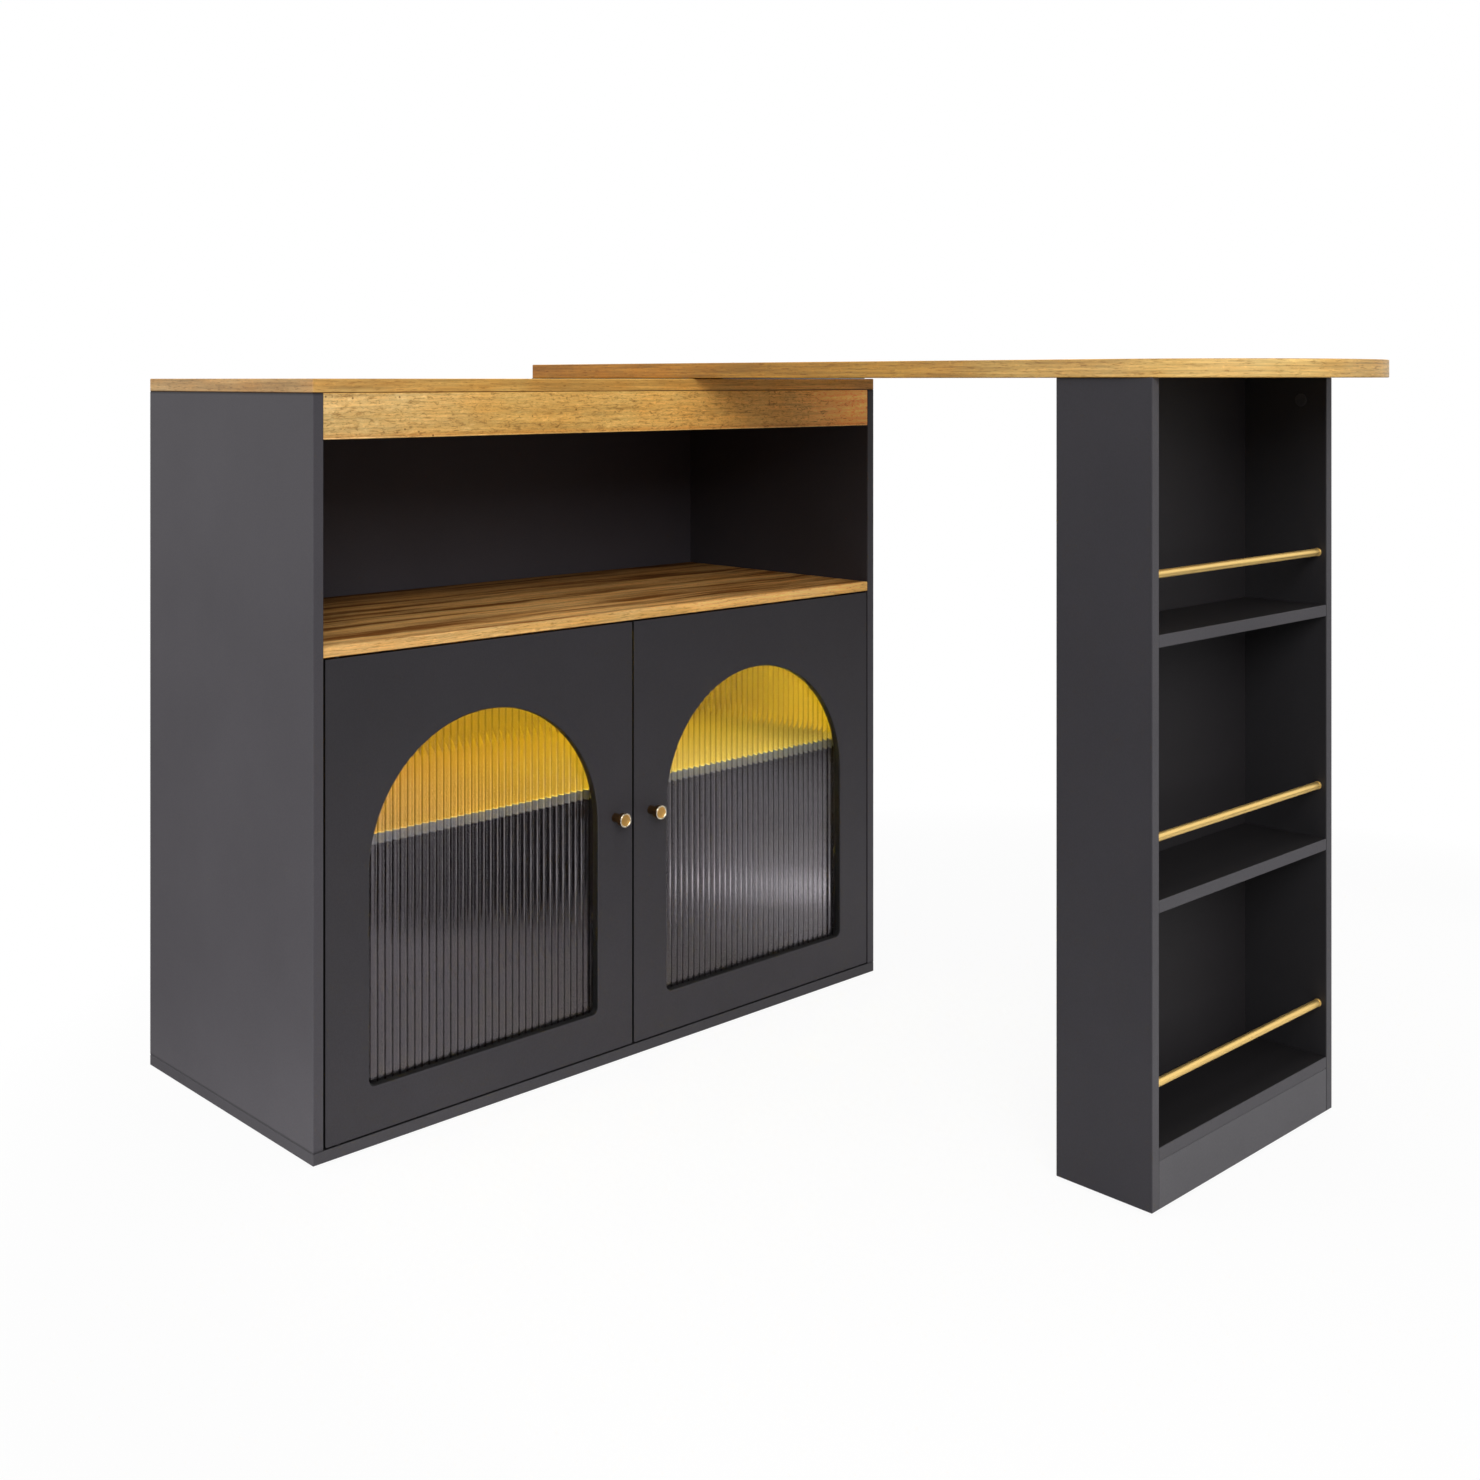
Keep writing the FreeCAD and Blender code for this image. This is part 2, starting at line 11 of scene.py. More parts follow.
# %% Load the frame
import json
import math
import bpy
from mathutils import Matrix, Vector

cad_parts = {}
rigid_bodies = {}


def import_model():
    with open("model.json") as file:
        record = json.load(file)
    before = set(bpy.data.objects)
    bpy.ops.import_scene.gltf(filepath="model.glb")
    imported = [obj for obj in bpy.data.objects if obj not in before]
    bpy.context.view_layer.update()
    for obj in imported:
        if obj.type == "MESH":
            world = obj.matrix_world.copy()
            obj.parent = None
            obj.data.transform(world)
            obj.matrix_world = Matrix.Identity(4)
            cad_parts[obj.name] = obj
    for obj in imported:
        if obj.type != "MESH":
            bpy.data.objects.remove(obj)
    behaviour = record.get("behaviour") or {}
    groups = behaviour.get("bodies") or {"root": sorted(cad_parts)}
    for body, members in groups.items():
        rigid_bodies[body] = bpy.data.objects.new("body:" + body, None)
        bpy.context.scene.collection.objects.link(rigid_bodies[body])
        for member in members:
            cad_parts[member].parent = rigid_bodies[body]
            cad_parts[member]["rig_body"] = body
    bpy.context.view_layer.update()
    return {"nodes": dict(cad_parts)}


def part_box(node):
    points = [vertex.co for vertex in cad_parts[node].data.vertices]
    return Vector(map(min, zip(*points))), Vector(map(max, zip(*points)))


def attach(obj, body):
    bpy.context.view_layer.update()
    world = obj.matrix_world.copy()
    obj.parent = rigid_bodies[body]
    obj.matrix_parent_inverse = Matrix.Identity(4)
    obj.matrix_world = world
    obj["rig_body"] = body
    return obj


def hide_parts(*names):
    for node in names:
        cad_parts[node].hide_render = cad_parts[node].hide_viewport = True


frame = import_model()
nodes = frame["nodes"]
mm = 0.001

# %% [markdown]
# ## The camera
#
# The photograph was taken with the camera held level, a little below the height of the bar, from the left
# and in front. A level camera keeps upright edges upright. The horizon lies above the middle of the
# picture, which is the work of a shifted lens, so the camera here gets a vertical shift and no tilt.

# %% Place the camera
horizon_share, lens_length, film_width = 0.2435, 42.58, 36
camera_place = Vector((-1.656, -1.6804, 0.9754))
look_direction = (0.69266, 0.72126)

bpy.ops.object.camera_add(location=camera_place, rotation=(math.pi / 2, 0, -math.atan2(*look_direction)))
camera = bpy.context.object
camera.name = "camera"
camera.data.lens, camera.data.sensor_width = lens_length, film_width
camera.data.shift_y = -horizon_share
bpy.context.scene.camera = camera
bpy.context.scene.view_settings.view_transform = "Standard"
print("camera at", [round(v, 3) for v in camera.location], "lens", camera.data.lens)

# %% [markdown]
# ## Helpers for materials
#
# Every finish is a small tree of nodes. Short helpers keep the trees readable. The first three start a new
# material, add a node with its values, and join a socket to another or set it to a plain value. The others
# add the nodes that nearly every tree needs: a colour ramp, a mix, a sum, a coordinate, noise and relief.

# %% Material helpers
def new_finish(name, **values):
    """A new material, its node tree and its Principled shader with the given socket values."""
    material = bpy.data.materials.new(name)
    material.use_nodes = True
    tree = material.node_tree
    shader = tree.nodes["Principled BSDF"]
    for socket, value in values.items():
        shader.inputs[socket.replace("_", " ")].default_value = value
    return material, tree, shader


def add_node(tree, kind, settings=None, **values):
    """A node of one kind, with its own settings and the values of its input sockets."""
    node = tree.nodes.new("ShaderNode" + kind)
    for key, value in (settings or {}).items():
        setattr(node, key, value)
    for socket, value in values.items():
        node.inputs[socket.replace("_", " ")].default_value = value
    return node


def join(tree, source, target):
    """Link a socket to another, or set the target to a plain number or colour."""
    if isinstance(source, bpy.types.NodeSocket):
        tree.links.new(source, target)
    else:
        target.default_value = (*source, 1) if isinstance(source, tuple) else source

# %% Helpers for tones
def ramp(tree, source, stops):
    """A colour ramp with stops of position and grey or colour."""
    node = add_node(tree, "ValToRGB")
    elements = node.color_ramp.elements
    while len(elements) < len(stops):
        elements.new(0.5)
    for element, (position, colour) in zip(elements, stops):
        element.position = position
        element.color = (*colour, 1) if isinstance(colour, tuple) else (colour, colour, colour, 1)
    join(tree, source, node.inputs["Fac"])
    return node.outputs["Color"]


def mixed(tree, share, first, second, blend="MIX"):
    """A colour mix. Share, first and second are sockets or plain values."""
    node = add_node(tree, "Mix", {"data_type": "RGBA", "blend_type": blend})
    for number, value in ((0, share), (6, first), (7, second)):
        join(tree, value, node.inputs[number])
    return node.outputs[2]


def multiplied(tree, first, second):
    return mixed(tree, 1.0, first, second, "MULTIPLY")


def calculate(tree, operation, *values):
    """A Math node on sockets or plain numbers."""
    node = add_node(tree, "Math", {"operation": operation})
    for socket, value in zip(node.inputs, values):
        join(tree, value, socket)
    return node.outputs[0]

# %% Helpers for patterns
def coordinate(tree, axis):
    """One of the piece's own coordinates, in metres."""
    place, parts = add_node(tree, "TexCoord"), add_node(tree, "SeparateXYZ")
    join(tree, place.outputs["Object"], parts.inputs["Vector"])
    return parts.outputs[axis]


def object_pattern(tree, scale=(1, 1, 1), offset=(0, 0, 0)):
    """Object coordinates through a Mapping node, so a pattern can be stretched and moved."""
    place = add_node(tree, "TexCoord")
    mapping = add_node(tree, "Mapping", Scale=scale, Location=offset)
    join(tree, place.outputs["Object"], mapping.inputs["Vector"])
    return mapping.outputs["Vector"]


def cloud(tree, size, detail, roughness, **pattern):
    """A noise node in the piece's own coordinates, with about this many lumps in a metre."""
    node = add_node(tree, "TexNoise", Scale=size, Detail=detail, Roughness=roughness)
    join(tree, object_pattern(tree, **pattern), node.inputs["Vector"])
    return node


def bump(tree, shader, height, strength, distance):
    """Fine relief on a shader from a height socket, with its depth in metres."""
    node = add_node(tree, "Bump", Strength=strength, Distance=distance)
    join(tree, height, node.inputs["Height"])
    join(tree, node.outputs["Normal"], shader.inputs["Normal"])

# %% [markdown]
# ## Charcoal laminate
#
# The boards are faced with a matte dark grey laminate. It isn't one flat grey: under soft light it shows a
# faint cloudiness and a fine pebbled grain that scatters the light. The cut edges are closed with a plain
# edge band, which looks a little lighter than the faces.
#
# The edge band could be a strip of its own on each edge. Here the material finds the narrow edges by their
# normal in the board's own coordinates, so the band turns with a door and needs no extra meshes. A second
# helper changes a tone from place to place along a board, with places in metres.

# %% Helpers for where a surface looks and lies
to_left, to_right, to_front, to_back = (-1, 0, 0), (1, 0, 0), (0, -1, 0), (0, 1, 0)
upwards, downwards = (0, 0, 1), (0, 0, -1)


def facing(tree, direction, start=0.45, end=0.75, both_ways=False):
    """White where the surface looks along a direction of the piece, black elsewhere."""
    place = add_node(tree, "TexCoord")
    towards = add_node(tree, "VectorMath", {"operation": "DOT_PRODUCT"})
    join(tree, place.outputs["Normal"], towards.inputs[0])
    towards.inputs[1].default_value = direction
    amount = towards.outputs["Value"]
    if both_ways:
        amount = calculate(tree, "ABSOLUTE", amount)
    return ramp(tree, amount, [(start, 0.0), (end, 1.0)])


def along_board(tree, axis, stops):
    """A tone that changes along one axis of the piece, from stops of a place in metres and a tone."""
    low, high = stops[0][0], stops[-1][0]
    spread = add_node(tree, "MapRange", From_Min=low, From_Max=high)
    join(tree, coordinate(tree, axis), spread.inputs["Value"])
    return ramp(tree, spread.outputs["Result"], [((at - low) / (high - low), tone) for at, tone in stops])

# %% Charcoal laminate
lit_low, lit_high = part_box("inner_shelf")[1].z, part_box("middle_shelf")[0].z
door_back, back_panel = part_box("left_door_frame")[1].y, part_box("cabinet_back_panel")[1].y
# The amber colour is a painted glow on the faces of the lit compartment.
edge_blur, painted_amber_glow = 2 * mm, (0.15, 0.115, 0.022)


def lit_compartment(tree, direction):
    """White on the faces that look along a direction between the two shelves, behind the doors, where the
    amber glow is painted.
    """
    in_height = along_board(tree, "Z", [(lit_low - 2 * edge_blur, 0.0), (lit_low - edge_blur, 1.0),
                                        (lit_high + edge_blur, 1.0), (lit_high + 2 * edge_blur, 0.0)])
    in_depth = along_board(tree, "Y", [(door_back, 0.0), (door_back + 2 * edge_blur, 1.0),
                                       (back_panel - edge_blur, 1.0), (back_panel, 0.0)])
    return multiplied(tree, multiplied(tree, in_height, facing(tree, direction)), in_depth)


def charcoal(name, face, others=(), painted_glow_facing=None, fades=()):
    """Matte laminate: one tone for its faces, others for faces that look along a direction, mostly painted
    light and shade, and a painted amber glow in the lit compartment.
    """
    material, tree, shader = new_finish(name, Roughness=0.55, Specular_IOR_Level=0.22)
    colour = face
    for direction, tone in others:
        colour = mixed(tree, facing(tree, direction), colour, tone)
    # A painted amber glow on the faces of the lit compartment.
    if painted_glow_facing:
        colour = mixed(tree, lit_compartment(tree, painted_glow_facing), colour, painted_amber_glow)
    for axis, stops in fades:
        colour = multiplied(tree, colour, along_board(tree, axis, stops))
    cloudiness = ramp(tree, cloud(tree, 7, 5, 0.62).outputs["Fac"], [(0.3, 0.95), (0.7, 1.05)])
    grain = cloud(tree, 900, 3, 0.6, scale=(1, 1, 0.55)).outputs["Fac"]
    speckle = ramp(tree, grain, [(0.35, 0.93), (0.65, 1.07)])
    join(tree, multiplied(tree, multiplied(tree, colour, cloudiness), speckle), shader.inputs["Base Color"])
    bump(tree, shader, grain, 0.25, 0.15 * mm)
    return material

# %% [markdown]
# The lamps light the laminate from the front and the left, and its many tones are painted light and shade on
# one laminate, set here once: the cabinet's left side is painted the palest face, and the cut edges come
# next.
# The column's outer side, the bays and the insides are painted shade down to nearly black, and the door edges
# are painted near black so that the gaps read dark. The sides have dark joint lines where they meet the base
# panel and the top, and are painted lighter towards the bottom. The compartment behind the glass has a
# painted amber glow on its faces, painted brighter towards the back of the inner shelf.

# %% Charcoal finishes
# Painted light and shade on one laminate: the cabinet's left side is painted lighter, and the column's outer
# side, the bays, the column shelves and the insides are painted shade.
shade, deep_shade = (0.024, 0.0225, 0.025), (0.020, 0.019, 0.021)
door_face, side_painted_light, edge_face = (0.041, 0.038, 0.043), (0.098, 0.092, 0.102), (0.062, 0.058, 0.066)
column_painted_shade, band_face, kick_face = (0.034, 0.032, 0.038), (0.088, 0.084, 0.092), (0.110, 0.106, 0.114)
# The door edges are painted near black: a painted shade that darkens the gaps.
column_shelf_painted_shade, column_shade, door_gap_painted_shade = (0.013, 0.012, 0.013), (0.022, 0.020, 0.022), (0.006, 0.006, 0.006)
bay_back_painted_shade, bay_side_painted_shade, base_edge = (0.056, 0.050, 0.058), (0.038, 0.034, 0.038), (0.072, 0.068, 0.075)
# The inner shelf's top is painted amber: a painted glow.
shelf_glow, shelf_band = (0.050, 0.040, 0.014), (0.19, 0.215, 0.27)

base_joint, top_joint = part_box("cabinet_base_panel")[1].z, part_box("cabinet_top_panel")[0].z
# Dark joint lines at the base panel and the top, and painted light: the sides are painted lighter towards the
# bottom.
side_joints_and_painted_light = [("Z", [(base_joint, 0.35), (base_joint + 1.5 * mm, 1.2), (0.45, 1.1),
                      (top_joint - 1.9 * mm, 0.98), (top_joint - 0.5 * mm, 0.3), (top_joint, 0.25)])]
# Painted light: the doors are painted lighter towards the bottom and towards the right.
painted_door_light = [("Z", [(0.02, 1.25), (0.63, 0.82)]), ("X", [(-0.52, 0.92), (0.48, 1.20)])]
# Painted glow: the inner shelf is painted up to five times brighter towards the back, where the light bar's
# light falls off.
painted_glow_depth = [("Y", [(0.290, 1.0), (0.34, 0.85), (0.45, (1.5, 1.5, 1.3)), (0.56, (3.2, 3.0, 2.0)),
                     (0.677, (5.5, 5.2, 3.0))])]

# The finishes mix these painted tones by the way each face looks.
left_side_finish = charcoal("charcoal_left_side", edge_face, [(to_left, side_painted_light), (to_right, shade)],
                            painted_glow_facing=to_right, fades=side_joints_and_painted_light)
right_side_finish = charcoal("charcoal_right_side", edge_face, [(to_right, door_face), (to_left, bay_side_painted_shade)],
                             painted_glow_facing=to_left, fades=side_joints_and_painted_light)
base_finish = charcoal("charcoal_base", shade, [(to_front, base_edge), (to_left, side_painted_light)])
door_finish = charcoal("charcoal_door", door_gap_painted_shade, [(to_front, door_face), (to_back, shade)], fades=painted_door_light)
column_left_finish = charcoal("charcoal_column_left", band_face,
                              [(to_left, column_painted_shade), (to_right, column_shade)])
column_right_finish = charcoal("charcoal_column_right", band_face,
                               [(to_left, deep_shade), (to_right, column_painted_shade)])
shelf_board_finish = charcoal("charcoal_column_shelf", column_shelf_painted_shade, [(to_front, band_face)])
kick_finish = charcoal("charcoal_kick_board", shade, [(to_front, kick_face)])
inner_shelf_finish = charcoal("charcoal_inner_shelf", shade, [(upwards, shelf_glow), (to_front, shelf_band)],
                              fades=painted_glow_depth)
back_finish = charcoal("charcoal_back", bay_back_painted_shade, painted_glow_facing=to_front)
column_back_finish = charcoal("charcoal_column_back", column_shade)
print("charcoal finishes, lit zone from", round(lit_low, 3), "to", round(lit_high, 3), "m")

# %% [markdown]
# ## Oak-look laminate
#
# The top, the apron, the middle shelf and the bar are a golden oak print. Oak has several scales of detail:
# brown bands a few centimetres wide that run along the board, fine lines within them, pores that look like
# short dark dashes, pale flecks, and in lively wood short wavy ticks across the grain and tiny pin knots.
#
# Each scale is a noise stretched along the board. The same recipe serves every board: the direction of the
# grain, the place in the pattern, and how strong each scale is change. The edges are closed with a strip
# of the same print, which is painted lighter and darker along its length as painted light and shade.

# %% Oak laminate
def oak(name, along, light, dark, bands=(0.40, 0.68), streaks=1.0, ticks=False, wander=0.010,
        offset=(0, 0, 0), edging=None, fades=(), painted_side_light=None, roughness=0.42, mirror=0.35):
    """Oak print. On flat faces the grain runs along x or y, and on upright edges it lies level.

    Edging is a light and a dark colour for the upright faces. A fade is a tone that changes along one axis,
    on the "flat" faces, on the "edge" or on "all" of them; the fades are painted light and shade, and dark
    joint lines. A side tone is painted light on the faces that look left or right.
    """
    material, tree, shader = new_finish(name, Roughness=roughness, Specular_IOR_Level=mirror)
    is_flat = facing(tree, upwards, 0.45, 0.55, both_ways=True)
    base = add_node(tree, "VectorMath", {"operation": "MULTIPLY_ADD"})
    join(tree, cloud(tree, 4, 4, 0.55, offset=offset).outputs["Color"], base.inputs[0])
    base.inputs[1].default_value = (wander, wander, wander * 0.35)
    join(tree, object_pattern(tree, offset=offset), base.inputs[2])

    def grain(cross, length, detail, roughness=0.6, distortion=0.0):
        """Noise that is fine across the grain and long along it."""
        scale = add_node(tree, "Mix", {"data_type": "VECTOR"})
        join(tree, is_flat, scale.inputs[0])
        scale.inputs[4].default_value = (length, length, cross)
        scale.inputs[5].default_value = tuple(length if axis == along else cross for axis in "xyz")
        stretched = add_node(tree, "VectorMath", {"operation": "MULTIPLY"})
        join(tree, base.outputs["Vector"], stretched.inputs[0])
        join(tree, scale.outputs[1], stretched.inputs[1])
        noise = add_node(tree, "TexNoise", Scale=1, Detail=detail, Roughness=roughness, Distortion=distortion)
        join(tree, stretched.outputs["Vector"], noise.inputs["Vector"])
        return noise.outputs["Fac"]

    def overlay(colour, pattern, stops):
        return multiplied(tree, colour, ramp(tree, pattern, stops))

    # Brown bands, and a slow drift of hue.
    broad = ramp(tree, grain(34, 2.2, 6), [(bands[0], 0.0), (bands[1], 1.0)])
    colour = mixed(tree, broad, light, dark)
    if edging:
        colour = mixed(tree, is_flat, mixed(tree, broad, *edging), colour)
    colour = overlay(colour, grain(26, 14, 3), [(0.34, (1.03, 0.97, 0.88)), (0.66, (0.98, 1.03, 1.10))])
    # Fine and coarse lines, then dark pores and pale flecks.
    colour = overlay(colour, grain(330, 7, 4), [(0.34, 1.0 - 0.20 * streaks), (0.66, 1.0 + 0.10 * streaks)])
    colour = overlay(colour, grain(95, 5, 3), [(0.36, 1.0 - 0.16 * streaks), (0.50, 1.0)])
    pore_map = ramp(tree, grain(620, 60, 3, 0.7), [(0.34, (0.62, 0.54, 0.44)), (0.46, 1.0)])
    colour = multiplied(tree, colour, pore_map)
    colour = overlay(colour, grain(190, 120, 5, 0.7), [(0.55, 1.0), (0.74, 1.22)])
    if ticks:
        # Short wavy ticks across the grain, and pin knots.
        colour = overlay(colour, grain(240, 100, 3, 0.6, 1.0), [
            (0.28, (0.50, 0.42, 0.34)), (0.46, 1.0), (0.56, 1.0), (0.70, (1.14, 1.22, 1.40))])
        knots = add_node(tree, "TexVoronoi", Scale=45)
        join(tree, object_pattern(tree, offset=offset), knots.inputs["Vector"])
        colour = overlay(colour, knots.outputs["Distance"], [(0.04, (0.34, 0.26, 0.20)), (0.085, 1.0)])
    # Painted light and shade along a board, and dark joint lines.
    for where, axis, stops in fades:
        toned = multiplied(tree, colour, along_board(tree, axis, stops))
        keep = {"all": 0.0, "edge": is_flat, "flat": mixed(tree, is_flat, (1, 1, 1), (0, 0, 0))}[where]
        colour = mixed(tree, keep, toned, colour)
    # Painted light: the faces that look left or right get their own tone.
    if painted_side_light:
        toned = multiplied(tree, colour, painted_side_light)
        colour = mixed(tree, facing(tree, to_left, both_ways=True), colour, toned)
    join(tree, colour, shader.inputs["Base Color"])
    bump(tree, shader, pore_map, 0.3, 0.2 * mm)
    return material

# %% [markdown]
# Each oak board has its own place in the pattern. The tones that change along a board are mostly painted
# light and shade: the edge strips are painted paler at the left and darker where the bar shades them, the
# apron's edge is painted much lighter again at its right end and has a painted highlight on its lower rim
# with a darker, redder band above it, the middle shelf is painted darker towards the back of the bay and
# lighter towards the right, and the bar's edge is painted paler towards its nose. The ends of the top get a
# bluer painted light. The dark line at the lower rim of the top is a joint.

# %% Oak finishes
golden, tan = (0.80, 0.455, 0.100), (0.56, 0.29, 0.055)
apron_low, top_low, top_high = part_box("front_apron")[0].z, top_joint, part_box("cabinet_top_panel")[1].z
joint = (0.28, 0.24, 0.22)
# Top: edge painted paler at the left and darker under the bar, ends painted a bluer light, and a dark joint
# line at its lower rim.
top_finish = oak(
    "oak_cabinet_top", "x", golden, tan, bands=(0.42, 0.62), streaks=1.3, offset=(0.3, 0.1, 0.7),
    painted_side_light=(1.04, 1.04, 1.28), fades=[
        ("edge", "X", [(-0.54, (1.05, 1.14, 1.7)), (-0.30, (1, 1, 1.15)), (0.50, (1, 0.9, 0.9))]),
        ("all", "Z", [(top_low, joint), (top_low + 0.9 * mm, joint), (top_low + 1.7 * mm, 1.0),
                      (top_high, 1.0)])])
# Apron: edge painted paler at the left and much lighter at its right end, and a painted highlight on its
# lower rim with a darker, redder band above it.
apron_finish = oak(
    "oak_apron", "x", (0.86, 0.50, 0.125), (0.68, 0.375, 0.080), ticks=True, wander=0.03,
    offset=(1.3, 0.4, 0.2), fades=[
        ("edge", "X", [(-0.53, (1.08, 1.24, 2.0)), (-0.25, (1, 1, 1.1)), (0.30, (1, 0.95, 0.92)),
                       (0.48, (2.05, 1.75, 1.85))]),
        ("all", "Z", [(apron_low, (1.25, 1.3, 1.6)), (apron_low + 1.2 * mm, (1.2, 1.2, 1.4)),
                      (apron_low + 2.1 * mm, (0.82, 0.66, 0.5)), (apron_low + 8.3 * mm, 1.0),
                      (top_low, 1.0)])])
# Middle shelf: edge painted lighter to the right, top painted darker towards the back of the bay and lighter
# towards the right.
shelf_finish = oak(
    "oak_middle_shelf", "x", (0.98, 0.56, 0.19), (0.28, 0.11, 0.026), bands=(0.43, 0.60), streaks=1.3,
    wander=0.045, offset=(2.1, 0.9, 0.3), roughness=0.8, mirror=0.04,
    edging=((0.92, 0.55, 0.19), (0.74, 0.42, 0.12)), fades=[
        ("edge", "X", [(-0.53, (1.0, 1.0, 1.1)), (0.48, 1.3)]),
        ("flat", "Y", [(0.246, 1.0), (0.45, (0.95, 0.92, 0.90)), (0.58, (0.62, 0.56, 0.52)),
                       (0.68, (0.30, 0.26, 0.24))]),
        ("flat", "X", [(-0.53, 0.85), (0.0, 1.0), (0.48, 1.1)])])
# Bar: edge painted paler towards the nose and darker towards the tail.
bar_finish = oak(
    "oak_bar", "y", golden, tan, bands=(0.42, 0.62), streaks=1.4, offset=(0.5, 1.7, 0.9), fades=[
        ("edge", "Y", [(-0.69, (1.30, 1.48, 2.3)), (-0.58, (1.06, 1.20, 1.8)), (-0.48, (0.95, 1.05, 1.5)),
                       (-0.16, (0.74, 0.68, 0.57)), (0.46, (0.60, 0.50, 0.36))])])
print("oak finishes", top_finish.name, apron_finish.name, shelf_finish.name, bar_finish.name)

# %% [markdown]
# ## Metals, glass, plastics and felt
#
# The knobs and rails are satin gold. A metal's colour comes from its reflection, and brushing makes fine
# lines that spread the highlight. The hidden hardware is zinc-plated steel, and the pads are felt.
#
# The glass is clear and comes in three finishes: a body that mirrors half again more than real glass, a
# painted reflection; a valley that is painted greyer and duller and mirrors nothing, a painted shade; and a
# ridge that mirrors about three times more than real glass does, a painted highlight. Specular Tint scales
# what a glass mirrors.

# %% Small finishes
def metal(name, colour, roughness, fleck_scale, stretch=(1, 1, 1)):
    """Metal with fine brushing that varies its roughness and colour."""
    material, tree, shader = new_finish(name, Metallic=1.0)
    brush = cloud(tree, fleck_scale, 4, 0.65, scale=stretch).outputs["Fac"]
    tone = ramp(tree, brush, [(0.3, 0.93), (0.7, 1.05)])
    join(tree, multiplied(tree, colour, tone), shader.inputs["Base Color"])
    rough = ramp(tree, brush, [(0.3, roughness - 0.06), (0.7, roughness + 0.08)])
    join(tree, rough, shader.inputs["Roughness"])
    bump(tree, shader, brush, 0.12, 0.05 * mm)
    return material


def moulded(name, colour, roughness, scale=1400):
    """Moulded plastic or felt: a fine grain in colour and relief."""
    material, tree, shader = new_finish(name, Roughness=roughness)
    grain = cloud(tree, scale, 4, 0.6).outputs["Fac"]
    tone = ramp(tree, grain, [(0.3, 0.88), (0.7, 1.12)])
    join(tree, multiplied(tree, colour, tone), shader.inputs["Base Color"])
    bump(tree, shader, grain, 0.3, 0.1 * mm)
    return material


def clear_glass(name, tint, roughness, mirror):
    """Clear glass with a tint, a share that it mirrors, and a faint ripple as rolling leaves it."""
    material, tree, shader = new_finish(name, Base_Color=(*tint, 1), Roughness=roughness, IOR=1.5,
                                        Transmission_Weight=1.0, Specular_Tint=(*mirror, 1))
    waves = cloud(tree, 1, 2, 0.5, scale=(60, 60, 6))
    bump(tree, shader, waves.outputs["Fac"], 0.2, 0.1 * mm)
    return material


along_rod = (0.02, 1, 1)
rail_gold = metal("satin_gold_rail", (1.0, 0.70, 0.25), 0.46, 700, along_rod)
knob_gold = metal("satin_gold_knob", (0.90, 0.52, 0.15), 0.36, 1500)
# The rim is polished, and its paler colour is a painted highlight.
polished_gold_painted_highlight = metal("polished_gold_rim", (1.0, 0.90, 0.68), 0.16, 1500)
# Painted shade: the neck is painted dark brown.
neck_gold_painted_shade = metal("shaded_gold_neck", (0.16, 0.09, 0.04), 0.40, 1500)
steel = metal("zinc_plated_steel", (0.60, 0.60, 0.62), 0.38, 900)
channel = metal("anodised_channel", (0.68, 0.68, 0.70), 0.42, 900, along_rod)
nylon = moulded("dark_nylon", (0.030, 0.030, 0.033), 0.45)
felt = moulded("grey_felt", (0.10, 0.095, 0.09), 0.95, 500)
tyre = moulded("soft_grey_tyre", (0.16, 0.16, 0.165), 0.6, 900)
hub_plastic = moulded("black_hub", (0.035, 0.035, 0.037), 0.4, 900)
# The body glass mirrors half again more than real glass: a painted reflection.
glass = clear_glass("reeded_glass", (0.94, 0.94, 0.96), 0.03, (1.5, 1.36, 1.52))
# Valley glass: painted shade, grey and mirroring nothing.
valley_painted_shade_glass = clear_glass("reed_valley_glass", (0.42, 0.41, 0.42), 0.10, (0, 0, 0))
# Ridge glass: a painted highlight, mirroring about three times more than real glass.
ridge_painted_highlight_glass = clear_glass("reed_ridge_glass", (0.94, 0.94, 0.96), 0.06, (3.2, 2.95, 3.2))
print("metals, plastics, felt and glass ready")

# %% [markdown]
# ## The amber light
#
# The upper part of the glass glows amber. It comes from a light bar under the middle shelf, behind the
# doors: a strip of warm diodes behind a milky cover. The cover is an emitter here, so part of the glow on the
# inner shelf and the back panel is real light, and the rest is an amber glow painted on those faces. Faint
# dots show where the diodes are.

# %% Light bar finish
def glowing_cover(name, stops, strength, spacing):
    """A milky cover with a soft brighter spot over each diode, and a colour that drifts along it."""
    material, tree, shader = new_finish(name, Roughness=0.5, Base_Color=(0.9, 0.8, 0.6, 1))
    turns = calculate(tree, "MULTIPLY", coordinate(tree, "X"), 2 * math.pi / spacing)
    spots = ramp(tree, calculate(tree, "SINE", turns), [(0.0, 0.80), (1.0, 1.0)])
    join(tree, multiplied(tree, along_board(tree, "X", stops), spots), shader.inputs["Emission Color"])
    join(tree, strength, shader.inputs["Emission Strength"])
    return material


glow_strength, diode_spacing = 480, 16 * mm
diffuser_finish = glowing_cover("amber_light_cover", [
    (-0.45, (0.66, 0.38, 0.007)), (-0.30, (0.68, 0.38, 0.006)), (-0.10, (0.52, 0.33, 0.011)),
    (0.10, (0.74, 0.54, 0.034)), (0.41, (1.0, 0.86, 0.14))], glow_strength, diode_spacing)
print("light bar cover ready")

# %% [markdown]
# ## Finishes onto the pieces
#
# One table gives every CAD node its finish. Many of these nodes are replaced by finer pieces later on. An
# eased board takes its finish from this table again.

